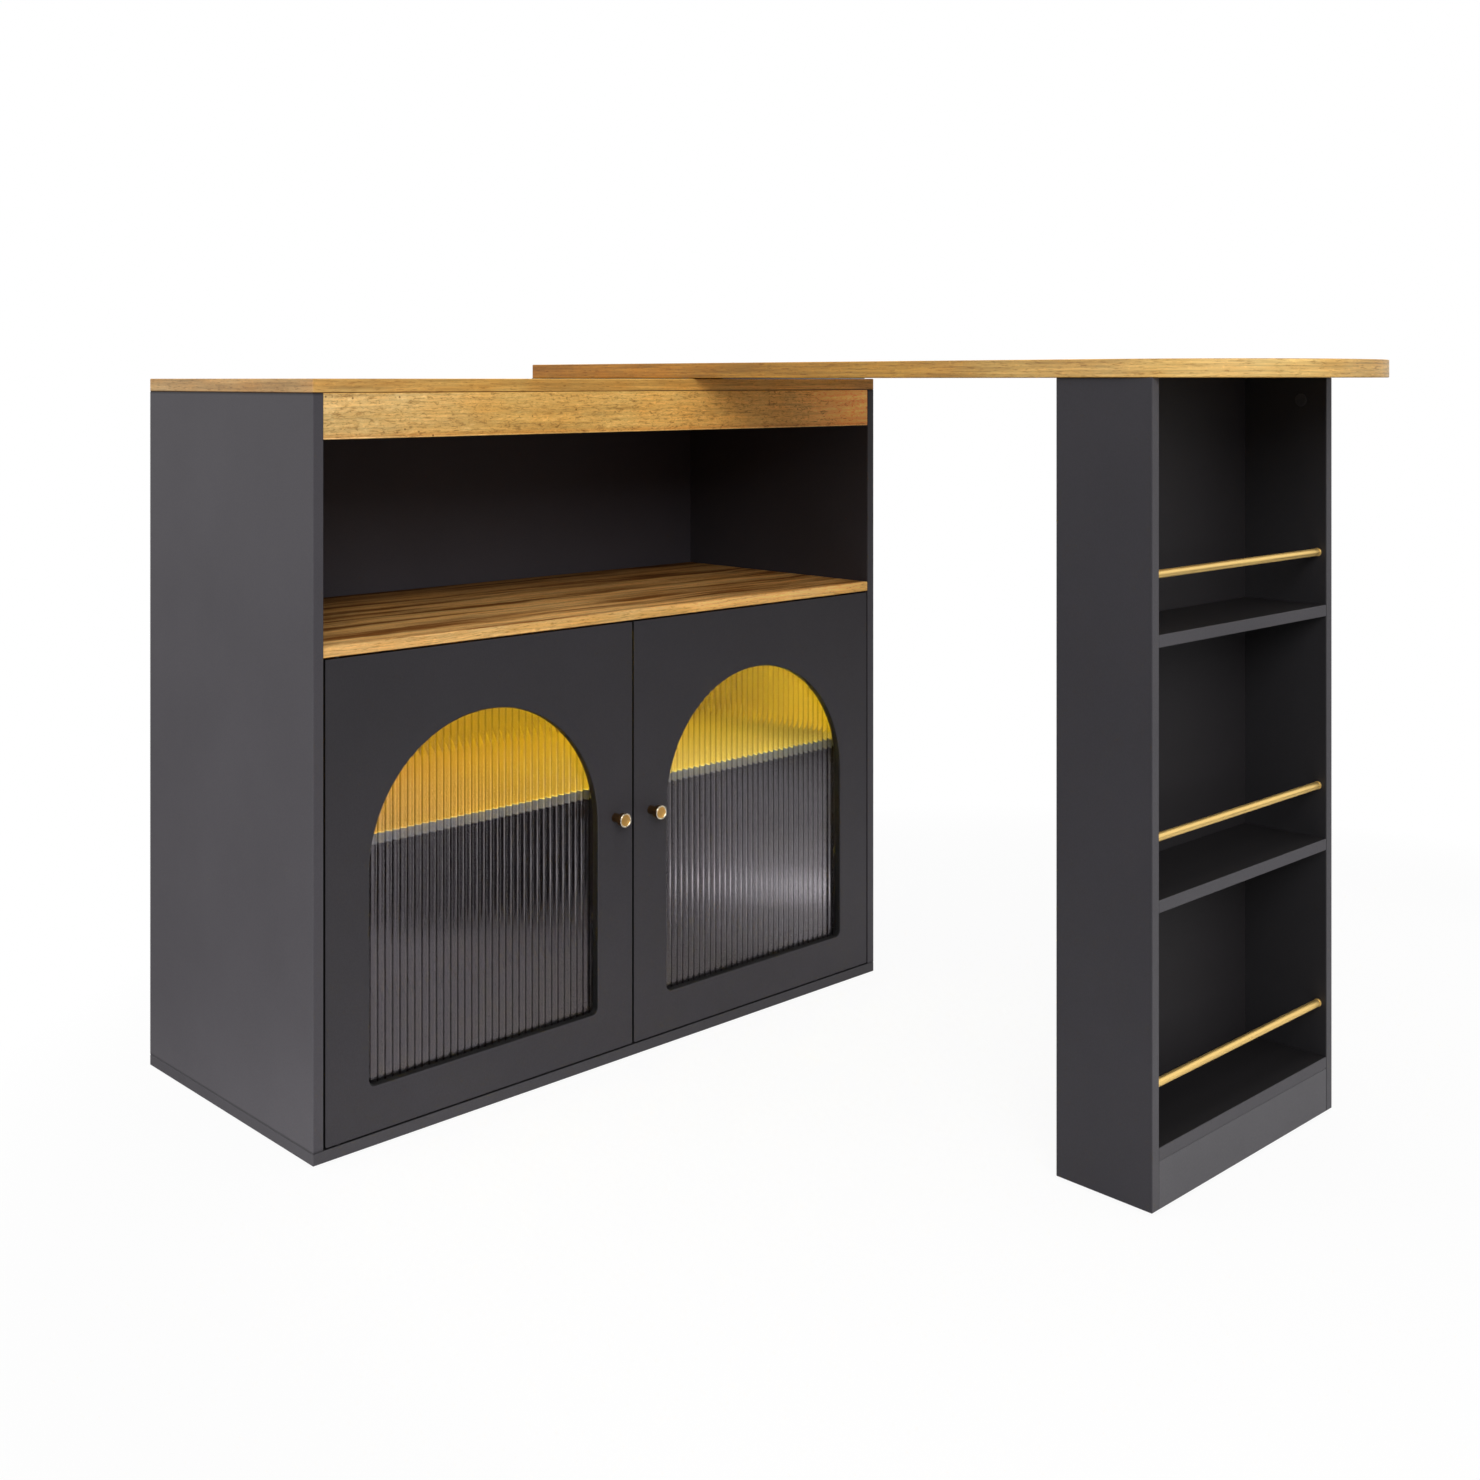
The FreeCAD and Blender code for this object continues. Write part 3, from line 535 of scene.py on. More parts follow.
# %% Give the CAD nodes their finishes
finish_of = {
    "cabinet_left_side": left_side_finish, "cabinet_right_side": right_side_finish,
    "cabinet_base_panel": base_finish, "cabinet_top_panel": top_finish, "front_apron": apron_finish,
    "middle_shelf": shelf_finish, "cabinet_back_panel": back_finish, "inner_shelf": inner_shelf_finish,
    "inner_shelf_pins": steel, "cabinet_glides": felt, "light_bar_housing": channel,
    "light_bar_diffuser": diffuser_finish, "magnetic_catch": nylon, "swivel_bush": nylon,
    "bar_top": bar_finish, "swivel_flange": steel, "swivel_nut": steel, "bar_glide_pads": felt,
    "column_left_side": column_left_finish, "column_right_side": column_right_finish,
    "column_back_panel": column_back_finish, "column_upper_shelf": shelf_board_finish,
    "column_lower_shelf": shelf_board_finish, "column_bottom_shelf": shelf_board_finish,
    "column_kick_board": kick_finish,
    "upper_rail": rail_gold, "middle_rail": rail_gold, "lower_rail": rail_gold}
for side in ("left", "right"):
    finish_of.update({
        side + "_door_frame": door_finish, side + "_door_glass": glass, side + "_glass_clips": nylon,
        side + "_knob": knob_gold, side + "_pivot_pins": nylon, side + "_strike_plate": steel,
        side + "_roller_bracket": steel, side + "_roller_axle": steel, side + "_roller": tyre})
for name, finish in finish_of.items():
    nodes[name].data.materials.clear()
    nodes[name].data.materials.append(finish)
print("nodes finished:", len(finish_of), "of", len(nodes))

# %% [markdown]
# ## Tools for modelling
#
# Each new piece starts as a primitive at its size and place, and is then shaped in edit mode. Faces and
# edges are picked by where they are or where they point, which stays right when a size changes. A few
# helpers do the repeated steps: add a primitive, pick, cut one shape with another, and finish the piece.

# %% Modelling helpers
def go_to(mode, piece=None):
    """Change to object or edit mode, with a given piece as the active one."""
    if piece:
        bpy.context.view_layer.objects.active = piece
    bpy.ops.object.mode_set(mode=mode)


def start_shape(kind, **values):
    """Add one primitive with nothing else selected, and put its place into its mesh."""
    if bpy.context.mode != "OBJECT":
        go_to("OBJECT")
    bpy.ops.object.select_all(action="DESELECT")
    getattr(bpy.ops.mesh, "primitive_" + kind + "_add")(**values)
    bpy.ops.object.transform_apply(location=True, rotation=True, scale=True)
    return bpy.context.object


def add_block(low, high):
    """A cube that fills a box."""
    low, high = Vector(low), Vector(high)
    return start_shape("cube", size=1, location=(low + high) / 2, scale=high - low)


def add_rod(axis, middle, radius, length, sides):
    """A cylinder along x, y or z."""
    turn = {"x": (0, math.pi / 2, 0), "y": (math.pi / 2, 0, 0), "z": (0, 0, 0)}[axis]
    return start_shape("cylinder", vertices=sides, radius=radius, depth=length,
                       location=middle, rotation=turn)


def pick(piece, test, kind="FACE"):
    """Go to edit mode and select what passes a test of its middle and its direction."""
    go_to("EDIT", piece)
    bpy.ops.mesh.select_mode(type=kind)
    bpy.ops.mesh.select_all(action="DESELECT")
    go_to("OBJECT")
    points = piece.data.vertices
    if kind == "FACE":
        for face in piece.data.polygons:
            face.select = test(face.center, face.normal)
    elif kind == "EDGE":
        for edge in piece.data.edges:
            first, last = (points[number].co for number in edge.vertices)
            edge.select = test((first + last) / 2, (last - first).normalized())
    else:
        for vertex in points:
            vertex.select = test(vertex.co, vertex.normal)
    go_to("EDIT")


def soften(width, steps, **settings):
    """Bevel the picked edges, or all edges of the picked faces."""
    bpy.ops.mesh.bevel(offset=width, segments=steps, affect="EDGES", **settings)


def extrude(x, y, z):
    bpy.ops.mesh.extrude_region_move(TRANSFORM_OT_translate={"value": (x, y, z)})


def carve(piece, tool, operation="DIFFERENCE"):
    """Cut a piece with a tool shape, or keep what both share, and delete the tool."""
    go_to("OBJECT")
    modifier = piece.modifiers.new("carve", "BOOLEAN")
    modifier.operation, modifier.solver, modifier.object = operation, "EXACT", tool
    bpy.context.view_layer.objects.active = piece
    bpy.ops.object.modifier_apply(modifier=modifier.name)
    bpy.data.objects.remove(tool)

# %% Helpers that finish a piece
def finish_piece(piece, name, body, finish, stands_for=None, smooth=35, flat_faces=True):
    """Tidy the mesh, shade it, and hand the piece to the body it moves with."""
    if bpy.context.mode != "OBJECT":
        go_to("OBJECT")
    bpy.ops.object.select_all(action="DESELECT")
    piece.select_set(True)
    go_to("EDIT", piece)
    bpy.ops.mesh.select_all(action="SELECT")
    bpy.ops.mesh.remove_doubles(threshold=0.003 * mm)
    bpy.ops.mesh.normals_make_consistent(inside=False)
    go_to("OBJECT")
    bpy.ops.object.shade_smooth_by_angle(angle=math.radians(smooth))
    if flat_faces:
        weighted = piece.modifiers.new("weighted", "WEIGHTED_NORMAL")
        weighted.keep_sharp = True
        bpy.ops.object.modifier_apply(modifier=weighted.name)
    piece.name = piece.data.name = name
    piece.data.materials.clear()
    piece.data.materials.append(finish)
    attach(piece, body)
    if stands_for:
        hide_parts(stands_for)
    return piece


def add_finish(piece, finish, test):
    """Give the faces that pass a test one more finish."""
    piece.data.materials.append(finish)
    pick(piece, test)
    piece.active_material_index = len(piece.data.materials) - 1
    bpy.ops.object.material_slot_assign()
    go_to("OBJECT")


def describe(piece):
    print(piece.name, "faces", len(piece.data.polygons), "size", [round(v / mm, 1) for v in piece.dimensions])

# %% [markdown]
# ## Boards with eased edges
#
# A sawn board has knife-sharp edges, and no real one stays so: the edge band is scraped round by about half
# a millimetre, and the thicker oak edging by more. That small round catches a line of light and leaves a
# fine dark groove where two boards meet.
#
# Each board is a copy of its CAD node, so its bores and grooves stay. The copy's loose triangles are merged,
# flat areas are joined, and only the edges on the board's outline are bevelled.

# %% Eased boards
oak_ease, charcoal_ease = 1.4 * mm, 0.5 * mm


def on_outline(low, high):
    """A test for edges that lie on two outer faces of a box."""
    ends_of = list(zip(low, high))
    return lambda centre, along: sum(min(abs(value - end) for end in ends) < 0.01 * mm
                                     for value, ends in zip(centre, ends_of)) == 2


def eased_board(name, width):
    board = bpy.data.objects.new(name + "_eased", nodes[name].data.copy())
    bpy.context.collection.objects.link(board)
    pick(board, lambda centre, normal: True)
    bpy.ops.mesh.remove_doubles(threshold=0.002 * mm)
    bpy.ops.mesh.dissolve_limited(angle_limit=math.radians(0.5))
    pick(board, on_outline(*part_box(name)), "EDGE")
    soften(width, 2, clamp_overlap=False)
    describe(finish_piece(board, name + "_eased", nodes[name]["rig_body"], finish_of[name], name))


for name in ("cabinet_top_panel", "front_apron", "middle_shelf"):
    eased_board(name, oak_ease)
for name in ("cabinet_left_side", "cabinet_right_side", "cabinet_base_panel", "inner_shelf",
             "column_left_side", "column_right_side", "column_upper_shelf", "column_lower_shelf",
             "column_bottom_shelf", "column_kick_board"):
    eased_board(name, charcoal_ease)

# %% [markdown]
# ## The arch
#
# Both doors have the same opening: a half circle on two upright sides, with small round corners at the
# sill. The opening, the rebate behind it and the edge of the glass are all this outline at different
# sizes, so one helper makes it as a solid block. It starts as a cylinder lying on its side. The lower half
# is cut off, the flat face is pulled down to the sill, and the two bottom corners are bevelled round.

# %% Arch block
arch_half, arch_centre, sill, sill_corner = 186 * mm, 347.5 * mm, 77.5 * mm, 9 * mm


def arch_block(middle, offset, front, back):
    """The arched outline as a block, wider on all sides by an offset."""
    foot = sill - offset
    block = add_rod("y", (middle, (front + back) / 2, arch_centre), arch_half + offset, back - front, 144)
    go_to("EDIT")
    bpy.ops.mesh.select_all(action="SELECT")
    bpy.ops.mesh.bisect(plane_co=(0, 0, arch_centre), plane_no=upwards, use_fill=True, clear_inner=True)
    pick(block, lambda centre, normal: normal.z < -0.9 and centre.z < arch_centre + mm)
    extrude(0, 0, foot - arch_centre)
    pick(block, lambda centre, along: centre.z < foot + mm and abs(along.y) > 0.9, "EDGE")
    soften(sill_corner + offset, 8)
    go_to("OBJECT")
    return block

# %% [markdown]
# ## Door frames
#
# Each door is one board with the arch cut through. The photograph shows a soft rounded lip round the arch
# that catches the light. A board could be bent or extruded from an outline, but cutting a cube with the
# arch block is shorter, and leaves one clean edge loop for the lip. A second, wider cut from behind makes
# the rebate that the glass lies in.

# %% Door frames
glass_depth, rebate, lip_radius, edge_round = 11 * mm, 7 * mm, 2.5 * mm, 0.9 * mm


def door_frame(side):
    low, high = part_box(side + "_door_frame")
    middle, beyond, inside = (low.x + high.x) / 2, 10 * mm, 5 * mm
    piece = add_block(low, high)
    carve(piece, arch_block(middle, 0, low.y - beyond, high.y + beyond))
    pick(piece, lambda centre, along: abs(centre.y - low.y) < 0.01 * mm
         and low.x + inside < centre.x < high.x - inside
         and low.z + inside < centre.z < high.z - inside, "EDGE")
    soften(lip_radius, 5)
    carve(piece, arch_block(middle, rebate, low.y + glass_depth, high.y + beyond))
    pick(piece, on_outline(low, high), "EDGE")
    soften(edge_round, 3)
    return finish_piece(piece, side + "_door_frame_fine", side + "_door", door_finish, side + "_door_frame")


for side in ("left", "right"):
    describe(door_frame(side))

# %% [markdown]
# ## Reeded glass
#
# Reeded glass is rolled with upright ribs on its front. Each rib is a shallow arc, so it works as a narrow
# upright lens: it draws what lies behind into thin upright streaks, and mirrors the room in bright bands.
# Light that falls into the steep valleys between two ribs is lost there, so each valley reads as a dark line;
# here that line is painted shade, a greyer glass that mirrors nothing.
#
# A bump map would draw the lines but bend no light, so the ribs are real here. One upright edge is swept
# round a short arc, the strip is repeated across the pane, pulled back to its thickness and flattened
# behind. The arch block then keeps only what fits the opening. The steps of the arc next to each valley get
# the valley glass, a painted shade, and the ones to the left of them the ridge glass, which mirrors more
# than real glass: a painted highlight that gives every reed its bright line.

# %% Reeded panes
reed_pitch, reed_depth, pane_clearance = 11.2 * mm, 0.8 * mm, 0.5 * mm
reed_radius = (reed_pitch ** 2 / 4 + reed_depth ** 2) / (2 * reed_depth)
reed_angle = 2 * math.asin(reed_pitch / 2 / reed_radius)
reed_steps, valley_steps, ridge_steps = 12, (-1, 2), (-3, -1)


def reeded_pane(side):
    low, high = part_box(side + "_door_glass")
    middle = (low.x + high.x) / 2
    count = 2 * math.ceil((high.x - low.x) / 2 / reed_pitch)
    start = middle - count / 2 * reed_pitch
    height = high.z - low.z + 4 * mm
    pane = start_shape("plane", size=height, rotation=(math.pi / 2, 0, 0),
                       location=(start + height / 2, low.y + reed_depth, (low.z + high.z) / 2))
    pick(pane, lambda place, normal: place.x > start + mm, "VERT")
    bpy.ops.mesh.delete(type="VERT")
    bpy.ops.mesh.select_all(action="SELECT")
    bpy.ops.mesh.spin(steps=reed_steps, angle=-reed_angle, axis=upwards,
                      center=(start + reed_pitch / 2, low.y + reed_radius, 0))
    go_to("OBJECT")
    array = pane.modifiers.new("reeds", "ARRAY")
    array.use_relative_offset, array.use_constant_offset, array.use_merge_vertices = False, True, True
    array.constant_offset_displace, array.count, array.merge_threshold = (reed_pitch, 0, 0), count, 0.01 * mm
    bpy.ops.object.modifier_apply(modifier=array.name)
    go_to("EDIT")
    bpy.ops.mesh.select_all(action="SELECT")
    extrude(0, high.y - low.y, 0)
    bpy.ops.transform.resize(value=(1, 0, 1), center_override=(middle, high.y, 0))
    bpy.ops.mesh.select_all(action="SELECT")
    bpy.ops.mesh.normals_make_consistent(inside=False)
    carve(pane, arch_block(middle, rebate - pane_clearance, low.y - mm, high.y + mm), "INTERSECT")
    finish_piece(pane, side + "_reeded_pane", side + "_door", glass, side + "_door_glass",
                 smooth=20, flat_faces=False)

    def beside_valley(first, last):
        """A test for front faces between two steps, counted to the right from the nearest valley."""
        def test(centre, normal):
            from_valley = (centre.x - start + reed_pitch / 2) % reed_pitch - reed_pitch / 2
            step = from_valley / (reed_pitch / reed_steps)
            return centre.y < low.y + 1.5 * reed_depth and first < step < last
        return test
    # Painted shade on the valley steps, and a painted highlight on the ridge steps.
    add_finish(pane, valley_painted_shade_glass, beside_valley(*valley_steps))
    add_finish(pane, ridge_painted_highlight_glass, beside_valley(*ridge_steps))
    return pane


for side in ("left", "right"):
    describe(reeded_pane(side))

# %% [markdown]
# ## Knobs
#
# The knobs are turned brass: a plain neck, painted dark brown as painted shade, and a round head with a
# raised polished rim, painted paler as a painted highlight, round a slightly sunken brushed face. The
# profile could be spun, but a cylinder whose end face is extruded, widened and inset follows the same steps
# as a lathe, one after the other.

# %% Knobs
neck_radius, head_radius, head_length, knob_sides = 6.5 * mm, 10 * mm, 8 * mm, 64
rim_width, rim_slope, sink, ring_width, ring_depth = 1.8 * mm, 0.4 * mm, 0.8 * mm, 2.6 * mm, 0.3 * mm
rim_round, rim_depth = 0.6 * mm, 1.2 * mm


def knob(side):
    low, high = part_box(side + "_knob")
    axis = ((low.x + high.x) / 2, (low.z + high.z) / 2)
    head_back = low.y + head_length
    neck_middle = (axis[0], (high.y + head_back) / 2, axis[1])
    turned = add_rod("y", neck_middle, neck_radius, high.y - head_back, knob_sides)
    pick(turned, lambda centre, normal: normal.y < -0.9)
    extrude(0, 0, 0)
    grow = head_radius / neck_radius
    bpy.ops.transform.resize(value=(grow, 1, grow), center_override=(axis[0], head_back, axis[1]))
    extrude(0, low.y - head_back, 0)
    for width, depth in ((rim_width, 0), (rim_slope, -sink), (ring_width, 0), (ring_depth, -ring_depth)):
        bpy.ops.mesh.inset(thickness=width, depth=depth)

    def from_axis(place):
        return math.dist((place.x, place.z), axis)

    pick(turned, lambda centre, along: abs(along.y) < 0.1 and from_axis(centre) > head_radius - 0.2 * mm
         or abs(centre.y - low.y) < 0.1 * mm, "EDGE")
    soften(rim_round, 3)
    finish_piece(turned, side + "_knob_turned", side + "_door", knob_gold, side + "_knob")
    # The polished rim, with its painted highlight.
    add_finish(turned, polished_gold_painted_highlight, lambda centre, normal: centre.y < low.y + rim_depth
               and from_axis(centre) > head_radius - rim_width - 0.3 * mm)
    # The neck, painted dark as painted shade.
    add_finish(turned, neck_gold_painted_shade, lambda centre, normal: centre.y > low.y + rim_depth)
    return turned


for side in ("left", "right"):
    describe(knob(side))

# %% [markdown]
# ## Rails
#
# A gold rod crosses each bay of the column and keeps bottles in. It is plain round bar, set into the
# sides, with a narrow rounded collar where it meets each side.

# %% Rails
rail_radius, rail_round, rail_sides = 5 * mm, 0.8 * mm, 48
collar_radius, collar_width, collar_round = 5.5 * mm, 3 * mm, 0.45 * mm
for name in ("upper_rail", "middle_rail", "lower_rail"):
    low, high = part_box(name)
    middle = (low + high) / 2
    rod = add_rod("x", middle, rail_radius, high.x - low.x, rail_sides)
    pick(rod, lambda centre, normal: abs(normal.x) > 0.9)
    soften(rail_round, 2)
    describe(finish_piece(rod, name + "_rod", "bar", rail_gold, name))
    left_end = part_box("column_left_side")[1].x + collar_width / 2
    right_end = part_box("column_right_side")[0].x - collar_width / 2
    for end, place in (("left", left_end), ("right", right_end)):
        collar = add_rod("x", (place, *middle.yz), collar_radius, collar_width, rail_sides)
        pick(collar, lambda centre, normal: abs(normal.x) > 0.9)
        soften(collar_round, 3)
        finish_piece(collar, name + "_" + end + "_collar", "bar", rail_gold)

# %% [markdown]
# ## Bar top
#
# The bar is one thick board with two large round corners at its free end and small ones at its tail. The
# corners are bevels of the upright edges, then both rims get a fine soft bevel that catches a line of
# light. A shallow square pocket underneath takes the swivel's plate, with a little room all round.

# %% Bar top
nose_radius, tail_radius, bar_round, pocket_room = 200 * mm, 4 * mm, 1.2 * mm, 0.05 * mm
low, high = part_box("bar_top")
board = add_block(low, high)
for at_nose, radius, steps in ((True, nose_radius, 40), (False, tail_radius, 5)):
    pick(board, lambda centre, along: abs(along.z) > 0.9 and (centre.y < 0) == at_nose
         and min(abs(centre.x - low.x), abs(centre.x - high.x)) < mm, "EDGE")
    soften(radius, steps)
pick(board, lambda centre, along: abs(along.z) < 0.1, "EDGE")
soften(bar_round, 3)
flange_low, flange_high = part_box("swivel_flange")
room = Vector((pocket_room, pocket_room, 0))
carve(board, add_block((*(flange_low - room).xy, low.z - mm), flange_high + room))
describe(finish_piece(board, "bar_board", "bar", bar_finish, "bar_top"))

# %% [markdown]
# ## Felt under the bar
#
# Two long felt strips let the bar glide on the cabinet top. Two cross strips close the thin gap at the front
# and at the rear, so that no light shows through under the bar. Each is a thin block with soft edges.

# %% Felt cross strips
cross_width, cross_gap, felt_round = 12 * mm, 0.3 * mm, 0.3 * mm
strips_low, strips_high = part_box("bar_glide_pads")
bar_low, bar_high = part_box("bar_top")
rear_start = bar_high.y - cross_gap - cross_width
for name, start in (("front", strips_low.y), ("rear", rear_start)):
    strip = add_block((bar_low.x + cross_gap, start, strips_low.z),
                      (strips_high.x, start + cross_width, strips_high.z))
    pick(strip, lambda centre, normal: normal.z < -0.9)
    soften(felt_round, 2)
    describe(finish_piece(strip, name + "_felt_strip", "bar", felt))

# %% [markdown]
# ## Rollers
#
# Two small wheels carry the free end of the bar. Each has a soft grey tyre on a black hub, with a sunken
# web and a boss round the axle. Their axles point at the swivel, so that they roll round it without
# scuffing. A wheel is made unturned at its place, and its mesh is then turned about the upright line.

# %% Rollers
wheel_radius, wheel_width, hub_radius, axle_hole = 25 * mm, 18 * mm, 18.5 * mm, 3.1 * mm
tyre_round, web_slope, web_depth, web_width, boss_height = 2.5 * mm, 0.5 * mm, 3 * mm, 8 * mm, 2.2 * mm
bush_low, bush_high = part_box("swivel_bush")
pivot = (bush_low + bush_high) / 2


def roller(side):
    axle_low, axle_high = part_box(side + "_roller_axle")
    middle = (axle_low + axle_high) / 2

    def from_axle(place):
        return math.dist((place.x, place.z), (middle.x, middle.z))

    wheel = add_rod("y", middle, wheel_radius, wheel_width, 72)
    pick(wheel, lambda centre, normal: abs(normal.y) > 0.9)
    for width, depth in ((wheel_radius - hub_radius, 0), (web_slope, -web_depth), (web_width, 0),
                         (web_slope, boss_height)):
        bpy.ops.mesh.inset(thickness=width, depth=depth)
    pick(wheel, lambda centre, along: abs(along.y) < 0.1
         and from_axle(centre) > wheel_radius - 0.2 * mm, "EDGE")
    soften(tyre_round, 5)
    carve(wheel, add_rod("y", middle, axle_hole, 2 * wheel_width, 32))
    finish_piece(wheel, side + "_roller_wheel", side + "_roller", tyre, side + "_roller")
    add_finish(wheel, hub_plastic, lambda centre, normal: from_axle(centre) < hub_radius + 0.1 * mm)
    turn = -math.atan2(pivot.x - middle.x, pivot.y - middle.y)
    wheel.data.transform(Matrix.Translation(middle) @ Matrix.Rotation(turn, 4, "Z")
                         @ Matrix.Translation(-middle))
    return turn


for side in ("left", "right"):
    print(side, "roller turned by", round(math.degrees(roller(side)), 2), "degrees")

# %% [markdown]
# ## Screws and cam locks
#
# Boards of this kind are held by cam locks: a round disc with a cross slot, let into the inner face of a
# board next to the joint, here under a dark cap. Small cross-headed screws hold the knobs, the clips
# behind the glass, the catch and the roller brackets.
#
# One head of each kind is modelled, and the cross is cut into it with two thin blocks. Copies are turned to
# look along the direction that they were driven from, and the copies on one body are joined to one piece.

# %% Heads with a cross
def cross_head(radius, height, slot, depth):
    """One round head at the origin that looks up, with a cross cut into it."""
    head = add_rod("z", (0, 0, height / 2), radius, height, 28)
    pick(head, lambda centre, normal: normal.z > 0.9)
    soften(height * 0.4, 2)
    reach = radius * 0.62
    for half_x, half_y in ((reach, slot / 2), (slot / 2, reach)):
        carve(head, add_block((-half_x, -half_y, height - depth), (half_x, half_y, height + depth)))
    return head


def joined_copies(master, name, body, placings, finish, stands_for=None):
    """Copies of a shape, each moved by a matrix, joined to one piece."""
    bpy.ops.object.select_all(action="DESELECT")
    for placing in placings:
        copy = bpy.data.objects.new(name, master.data.copy())
        copy.data.transform(placing)
        bpy.context.collection.objects.link(copy)
        copy.select_set(True)
        bpy.context.view_layer.objects.active = copy
    bpy.ops.object.join()
    return finish_piece(bpy.context.object, name, body, finish, stands_for)


def set_heads(master, name, body, places, finish):
    """Copies of a head, each at its place and looking along its direction, joined to one piece."""
    placings = []
    for place, direction in places:
        turn = Vector(direction).to_track_quat("Z", "Y").to_matrix().to_4x4()
        placings.append(Matrix.Translation(Vector(place)) @ turn)
    describe(joined_copies(master, name, body, placings, finish))


screw = cross_head(3.2 * mm, 1.5 * mm, 0.8 * mm, 0.8 * mm)
cam = cross_head(8.5 * mm, 0.8 * mm, 1.8 * mm, 0.6 * mm)
describe(screw)
describe(cam)

# %% [markdown]
# ## Glass clips
#
# Seven small moulded clips hold each pane from behind. The CAD clips are bare plates, and their tips show
# through the glass. These have rounded corners and soft rims, and end where the frame still hides them. One
# clip is made at the origin, pointing away from the glass, and its copies are turned round the arch.

# %% Glass clips and door screws
clip_reach, clip_tail, clip_width, clip_depth, screw_out = 5.5 * mm, 10 * mm, 12 * mm, 2 * mm, 5.5 * mm
clip = add_block((-clip_reach, 0, -clip_width / 2), (clip_tail, clip_depth, clip_width / 2))
pick(clip, lambda centre, along: abs(along.y) > 0.9, "EDGE")
soften(3 * mm, 5)
pick(clip, lambda centre, normal: normal.y > 0.9)
soften(0.5 * mm, 2)
go_to("OBJECT")


def clip_places(low, high):
    """The x and z of each clip's screw, and the way from the glass to it as an angle in degrees."""
    middle, reach = (low.x + high.x) / 2, (high.x - low.x) / 2 + screw_out
    upright, below = (sill + arch_centre) / 2, low.z - screw_out
    places = [(middle - reach, upright, 180), (middle + reach, upright, 0),
              (middle - arch_half / 2, below, 270), (middle + arch_half / 2, below, 270)]
    for angle in (45, 90, 135):
        turn = math.radians(angle)
        places.append((middle + reach * math.cos(turn), arch_centre + reach * math.sin(turn), angle))
    return places


for side in ("left", "right"):
    low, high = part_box(side + "_door_glass")
    places, placings = clip_places(low, high), []
    for x, z, angle in places:
        turn = Matrix.Rotation(-math.radians(angle), 4, "Y")
        outwards = turn @ Vector(to_right)
        placings.append(Matrix.Translation(Vector((x, high.y, z)) - outwards * screw_out) @ turn)
    describe(joined_copies(clip, side + "_clips_fine", side + "_door", placings, nylon,
                           side + "_glass_clips"))
    clip_face, door_face_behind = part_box(side + "_glass_clips")[1].y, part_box(side + "_door_frame")[1].y
    knob_low, knob_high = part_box(side + "_knob")
    knob_middle = (knob_low + knob_high) / 2
    heads = [((x, clip_face, z), to_back) for x, z, angle in places]
    heads.append(((knob_middle.x, door_face_behind, knob_middle.z), to_back))
    set_heads(screw, side + "_door_screws", side + "_door", heads, nylon)

# %% Cam locks and the other screws
cam_from_end, cam_from_top, cam_rows = 34 * mm, 30 * mm, (-505.3 * mm, -442.5 * mm)
left_inside, right_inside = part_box("column_left_side")[1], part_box("column_right_side")[0]
cam_height = left_inside.z - cam_from_top
column_cams = [((left_inside.x, cam_rows[0], cam_height), to_right),
               ((right_inside.x, cam_rows[0], cam_height), to_left)]
column_cams += [((x, y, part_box(name)[0].z), downwards) for y in cam_rows
                for name in ("column_upper_shelf", "column_lower_shelf", "column_bottom_shelf")
                for x in (left_inside.x + cam_from_end, right_inside.x - cam_from_end)]
set_heads(cam, "column_cam_locks", "bar", column_cams, nylon)

shelf_low, shelf_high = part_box("middle_shelf")
set_heads(cam, "shelf_cam_locks", "cabinet", [
    ((x, y, shelf_low.z), downwards) for x in (shelf_low.x + cam_from_end, shelf_high.x - cam_from_end)
    for y in (shelf_low.y + 2.4 * cam_from_end, shelf_high.y - 2 * cam_from_end)], nylon)

catch_screw_in, bracket_plate, screw_offset = 6 * mm, 2 * mm, 16 * mm
catch_low, catch_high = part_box("magnetic_catch")
set_heads(screw, "catch_screws", "cabinet", [
    ((x, (catch_low.y + catch_high.y) / 2, catch_low.z), downwards)
    for x in (catch_low.x + catch_screw_in, catch_high.x - catch_screw_in)], steel)
bracket_screws = []
for side in ("left", "right"):
    bracket_low, bracket_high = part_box(side + "_roller_bracket")
    middle = (bracket_low + bracket_high) / 2
    aim = (pivot - middle).xy.normalized()
    bracket_screws += [((middle.x + step * aim.y, middle.y - step * aim.x, bracket_high.z - bracket_plate),
                        downwards) for step in (-screw_offset, screw_offset)]
set_heads(screw, "bracket_screws", "bar", bracket_screws, steel)
for master in (screw, cam, clip):
    bpy.data.objects.remove(master)

# %% [markdown]
# ## Floor, backdrop and light
#
# The photograph shows the table on plain white with hardly a shadow. It stands on a pale sheet in the
# middle of a darker room: the glass mirrors the bright sheet only near the table, which keeps the glow in
# its upper part clear. What the camera sees of the floor is mostly white, with the soft contact shadow
# kept. A small bright spot beside the cabinet shows in mirrors alone, as the pale patch low in the right
# pane. The world is white where the camera, a mirror or glass looks at it, and a plain soft light for
# everything else.

# %% Floor
sheet_middle, sheet_radius, room_radius, camera_share = (0.4, -0.35), 1.05, 1.65, 0.93
spot_middle, spot_radius, spot_strength = (0.80, -0.12), 0.46, 2.4
floor_size, floor_drop = 24, 0.5 * mm


def distance_from(tree, place):
    """How far a point of the floor lies from a place on it."""
    length = add_node(tree, "VectorMath", {"operation": "LENGTH"})
    join(tree, object_pattern(tree, offset=(-place[0], -place[1], 0)), length.inputs[0])
    return length.outputs["Value"]


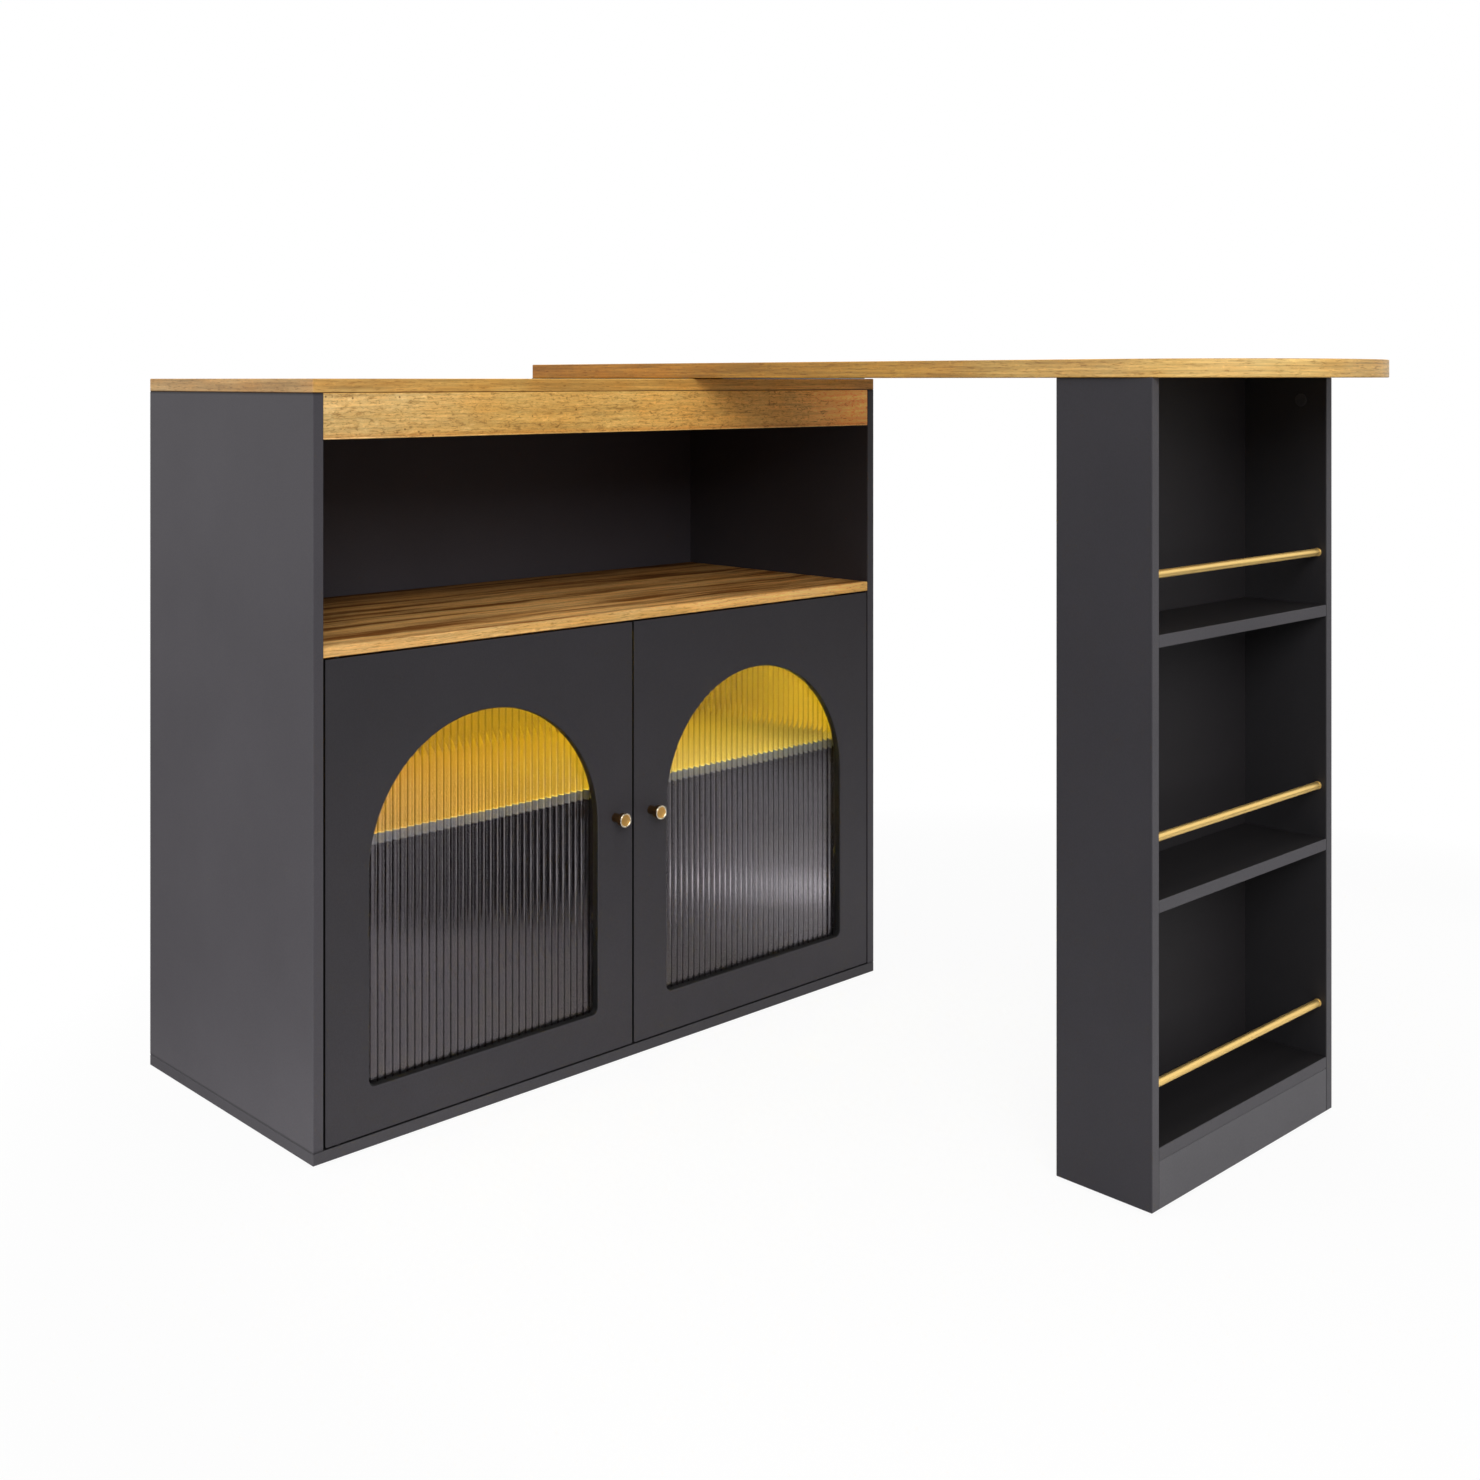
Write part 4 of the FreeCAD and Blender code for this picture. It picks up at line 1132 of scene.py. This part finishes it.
def off_sheet(tree, distance, lowest=0.0):
    """Rises from a lowest value on the pale sheet to 1 in the darker room."""
    node = add_node(tree, "MapRange", From_Min=sheet_radius, From_Max=room_radius, To_Min=lowest)
    join(tree, distance, node.inputs["Value"])
    return node.outputs["Result"]


def blended(tree, share, first, second):
    """One shader that turns into another by a share."""
    node = add_node(tree, "MixShader")
    for socket, source in zip(node.inputs, (share, first, second)):
        join(tree, source, socket)
    return node.outputs[0]


bpy.ops.object.select_all(action="DESELECT")
bpy.ops.mesh.primitive_plane_add(size=floor_size, location=(0, 0, -floor_drop))
floor = bpy.context.object
floor.name = "studio_floor"
floor_finish, tree, shader = new_finish("studio_floor", Roughness=0.9, Specular_IOR_Level=0.1)
from_middle = distance_from(tree, sheet_middle)
join(tree, ramp(tree, off_sheet(tree, from_middle), [(0.0, 0.92), (1.0, 0.12)]), shader.inputs["Base Color"])
light_path = add_node(tree, "LightPath")
white = add_node(tree, "Emission", Color=(1, 1, 1, 1), Strength=1.0)
seen_white = calculate(tree, "MULTIPLY", light_path.outputs["Is Camera Ray"],
                       off_sheet(tree, from_middle, camera_share))
spot = ramp(tree, distance_from(tree, spot_middle), [(0.05, 1.0), (0.16, 0.24), (spot_radius, 0.0)])
mirrored = calculate(tree, "MULTIPLY", spot, light_path.outputs["Is Glossy Ray"])
spot_glow = add_node(tree, "Emission", Color=(1, 1, 1, 1))
join(tree, calculate(tree, "MULTIPLY", mirrored, spot_strength), spot_glow.inputs["Strength"])
both = add_node(tree, "AddShader")
join(tree, blended(tree, seen_white, shader.outputs[0], white.outputs[0]), both.inputs[0])
join(tree, spot_glow.outputs[0], both.inputs[1])
join(tree, both.outputs[0], tree.nodes["Material Output"].inputs["Surface"])
floor.data.materials.append(floor_finish)
print(floor.name, floor_size, "m wide, pale sheet of", sheet_radius, "m radius at", sheet_middle)

# %% World
ambient_strength = 0.45
world = bpy.data.worlds.new("studio")
bpy.context.scene.world = world
world.use_nodes = True
tree = world.node_tree
light_path = add_node(tree, "LightPath")
shine = calculate(tree, "MAXIMUM", light_path.outputs["Is Glossy Ray"],
                  light_path.outputs["Is Transmission Ray"])
seen = calculate(tree, "MAXIMUM", light_path.outputs["Is Camera Ray"], shine)
clear_white = add_node(tree, "Background", Color=(1, 1, 1, 1), Strength=1.0)
ambient = tree.nodes["Background"]
ambient.inputs["Color"].default_value = (1, 1, 1, 1)
ambient.inputs["Strength"].default_value = ambient_strength
join(tree, blended(tree, seen, ambient.outputs[0], clear_white.outputs[0]),
     tree.nodes["World Output"].inputs["Surface"])
print("world", world.name, "with a soft light of", ambient_strength)

# %% Lamps
def soft_lamp(name, place, aim, size, power):
    """A square area lamp that points at a place."""
    turn = (Vector(aim) - Vector(place)).to_track_quat("-Z", "Y").to_euler()
    bpy.ops.object.light_add(type="AREA", location=place, rotation=turn)
    lamp = bpy.context.object
    lamp.name = name
    lamp.data.size, lamp.data.energy = size, power
    print(name, "watts", power)


soft_lamp("overhead_lamp", (0.1, -0.7, 3.6), (0.1, -0.7, 0), 2.6, 35)
soft_lamp("front_lamp", (-2.2, -3.2, 2.7), (0, 0.2, 0.6), 2.0, 92)
soft_lamp("left_lamp", (-2.9, 1.3, 1.3), (-0.54, 0.47, 0.5), 1.6, 17)
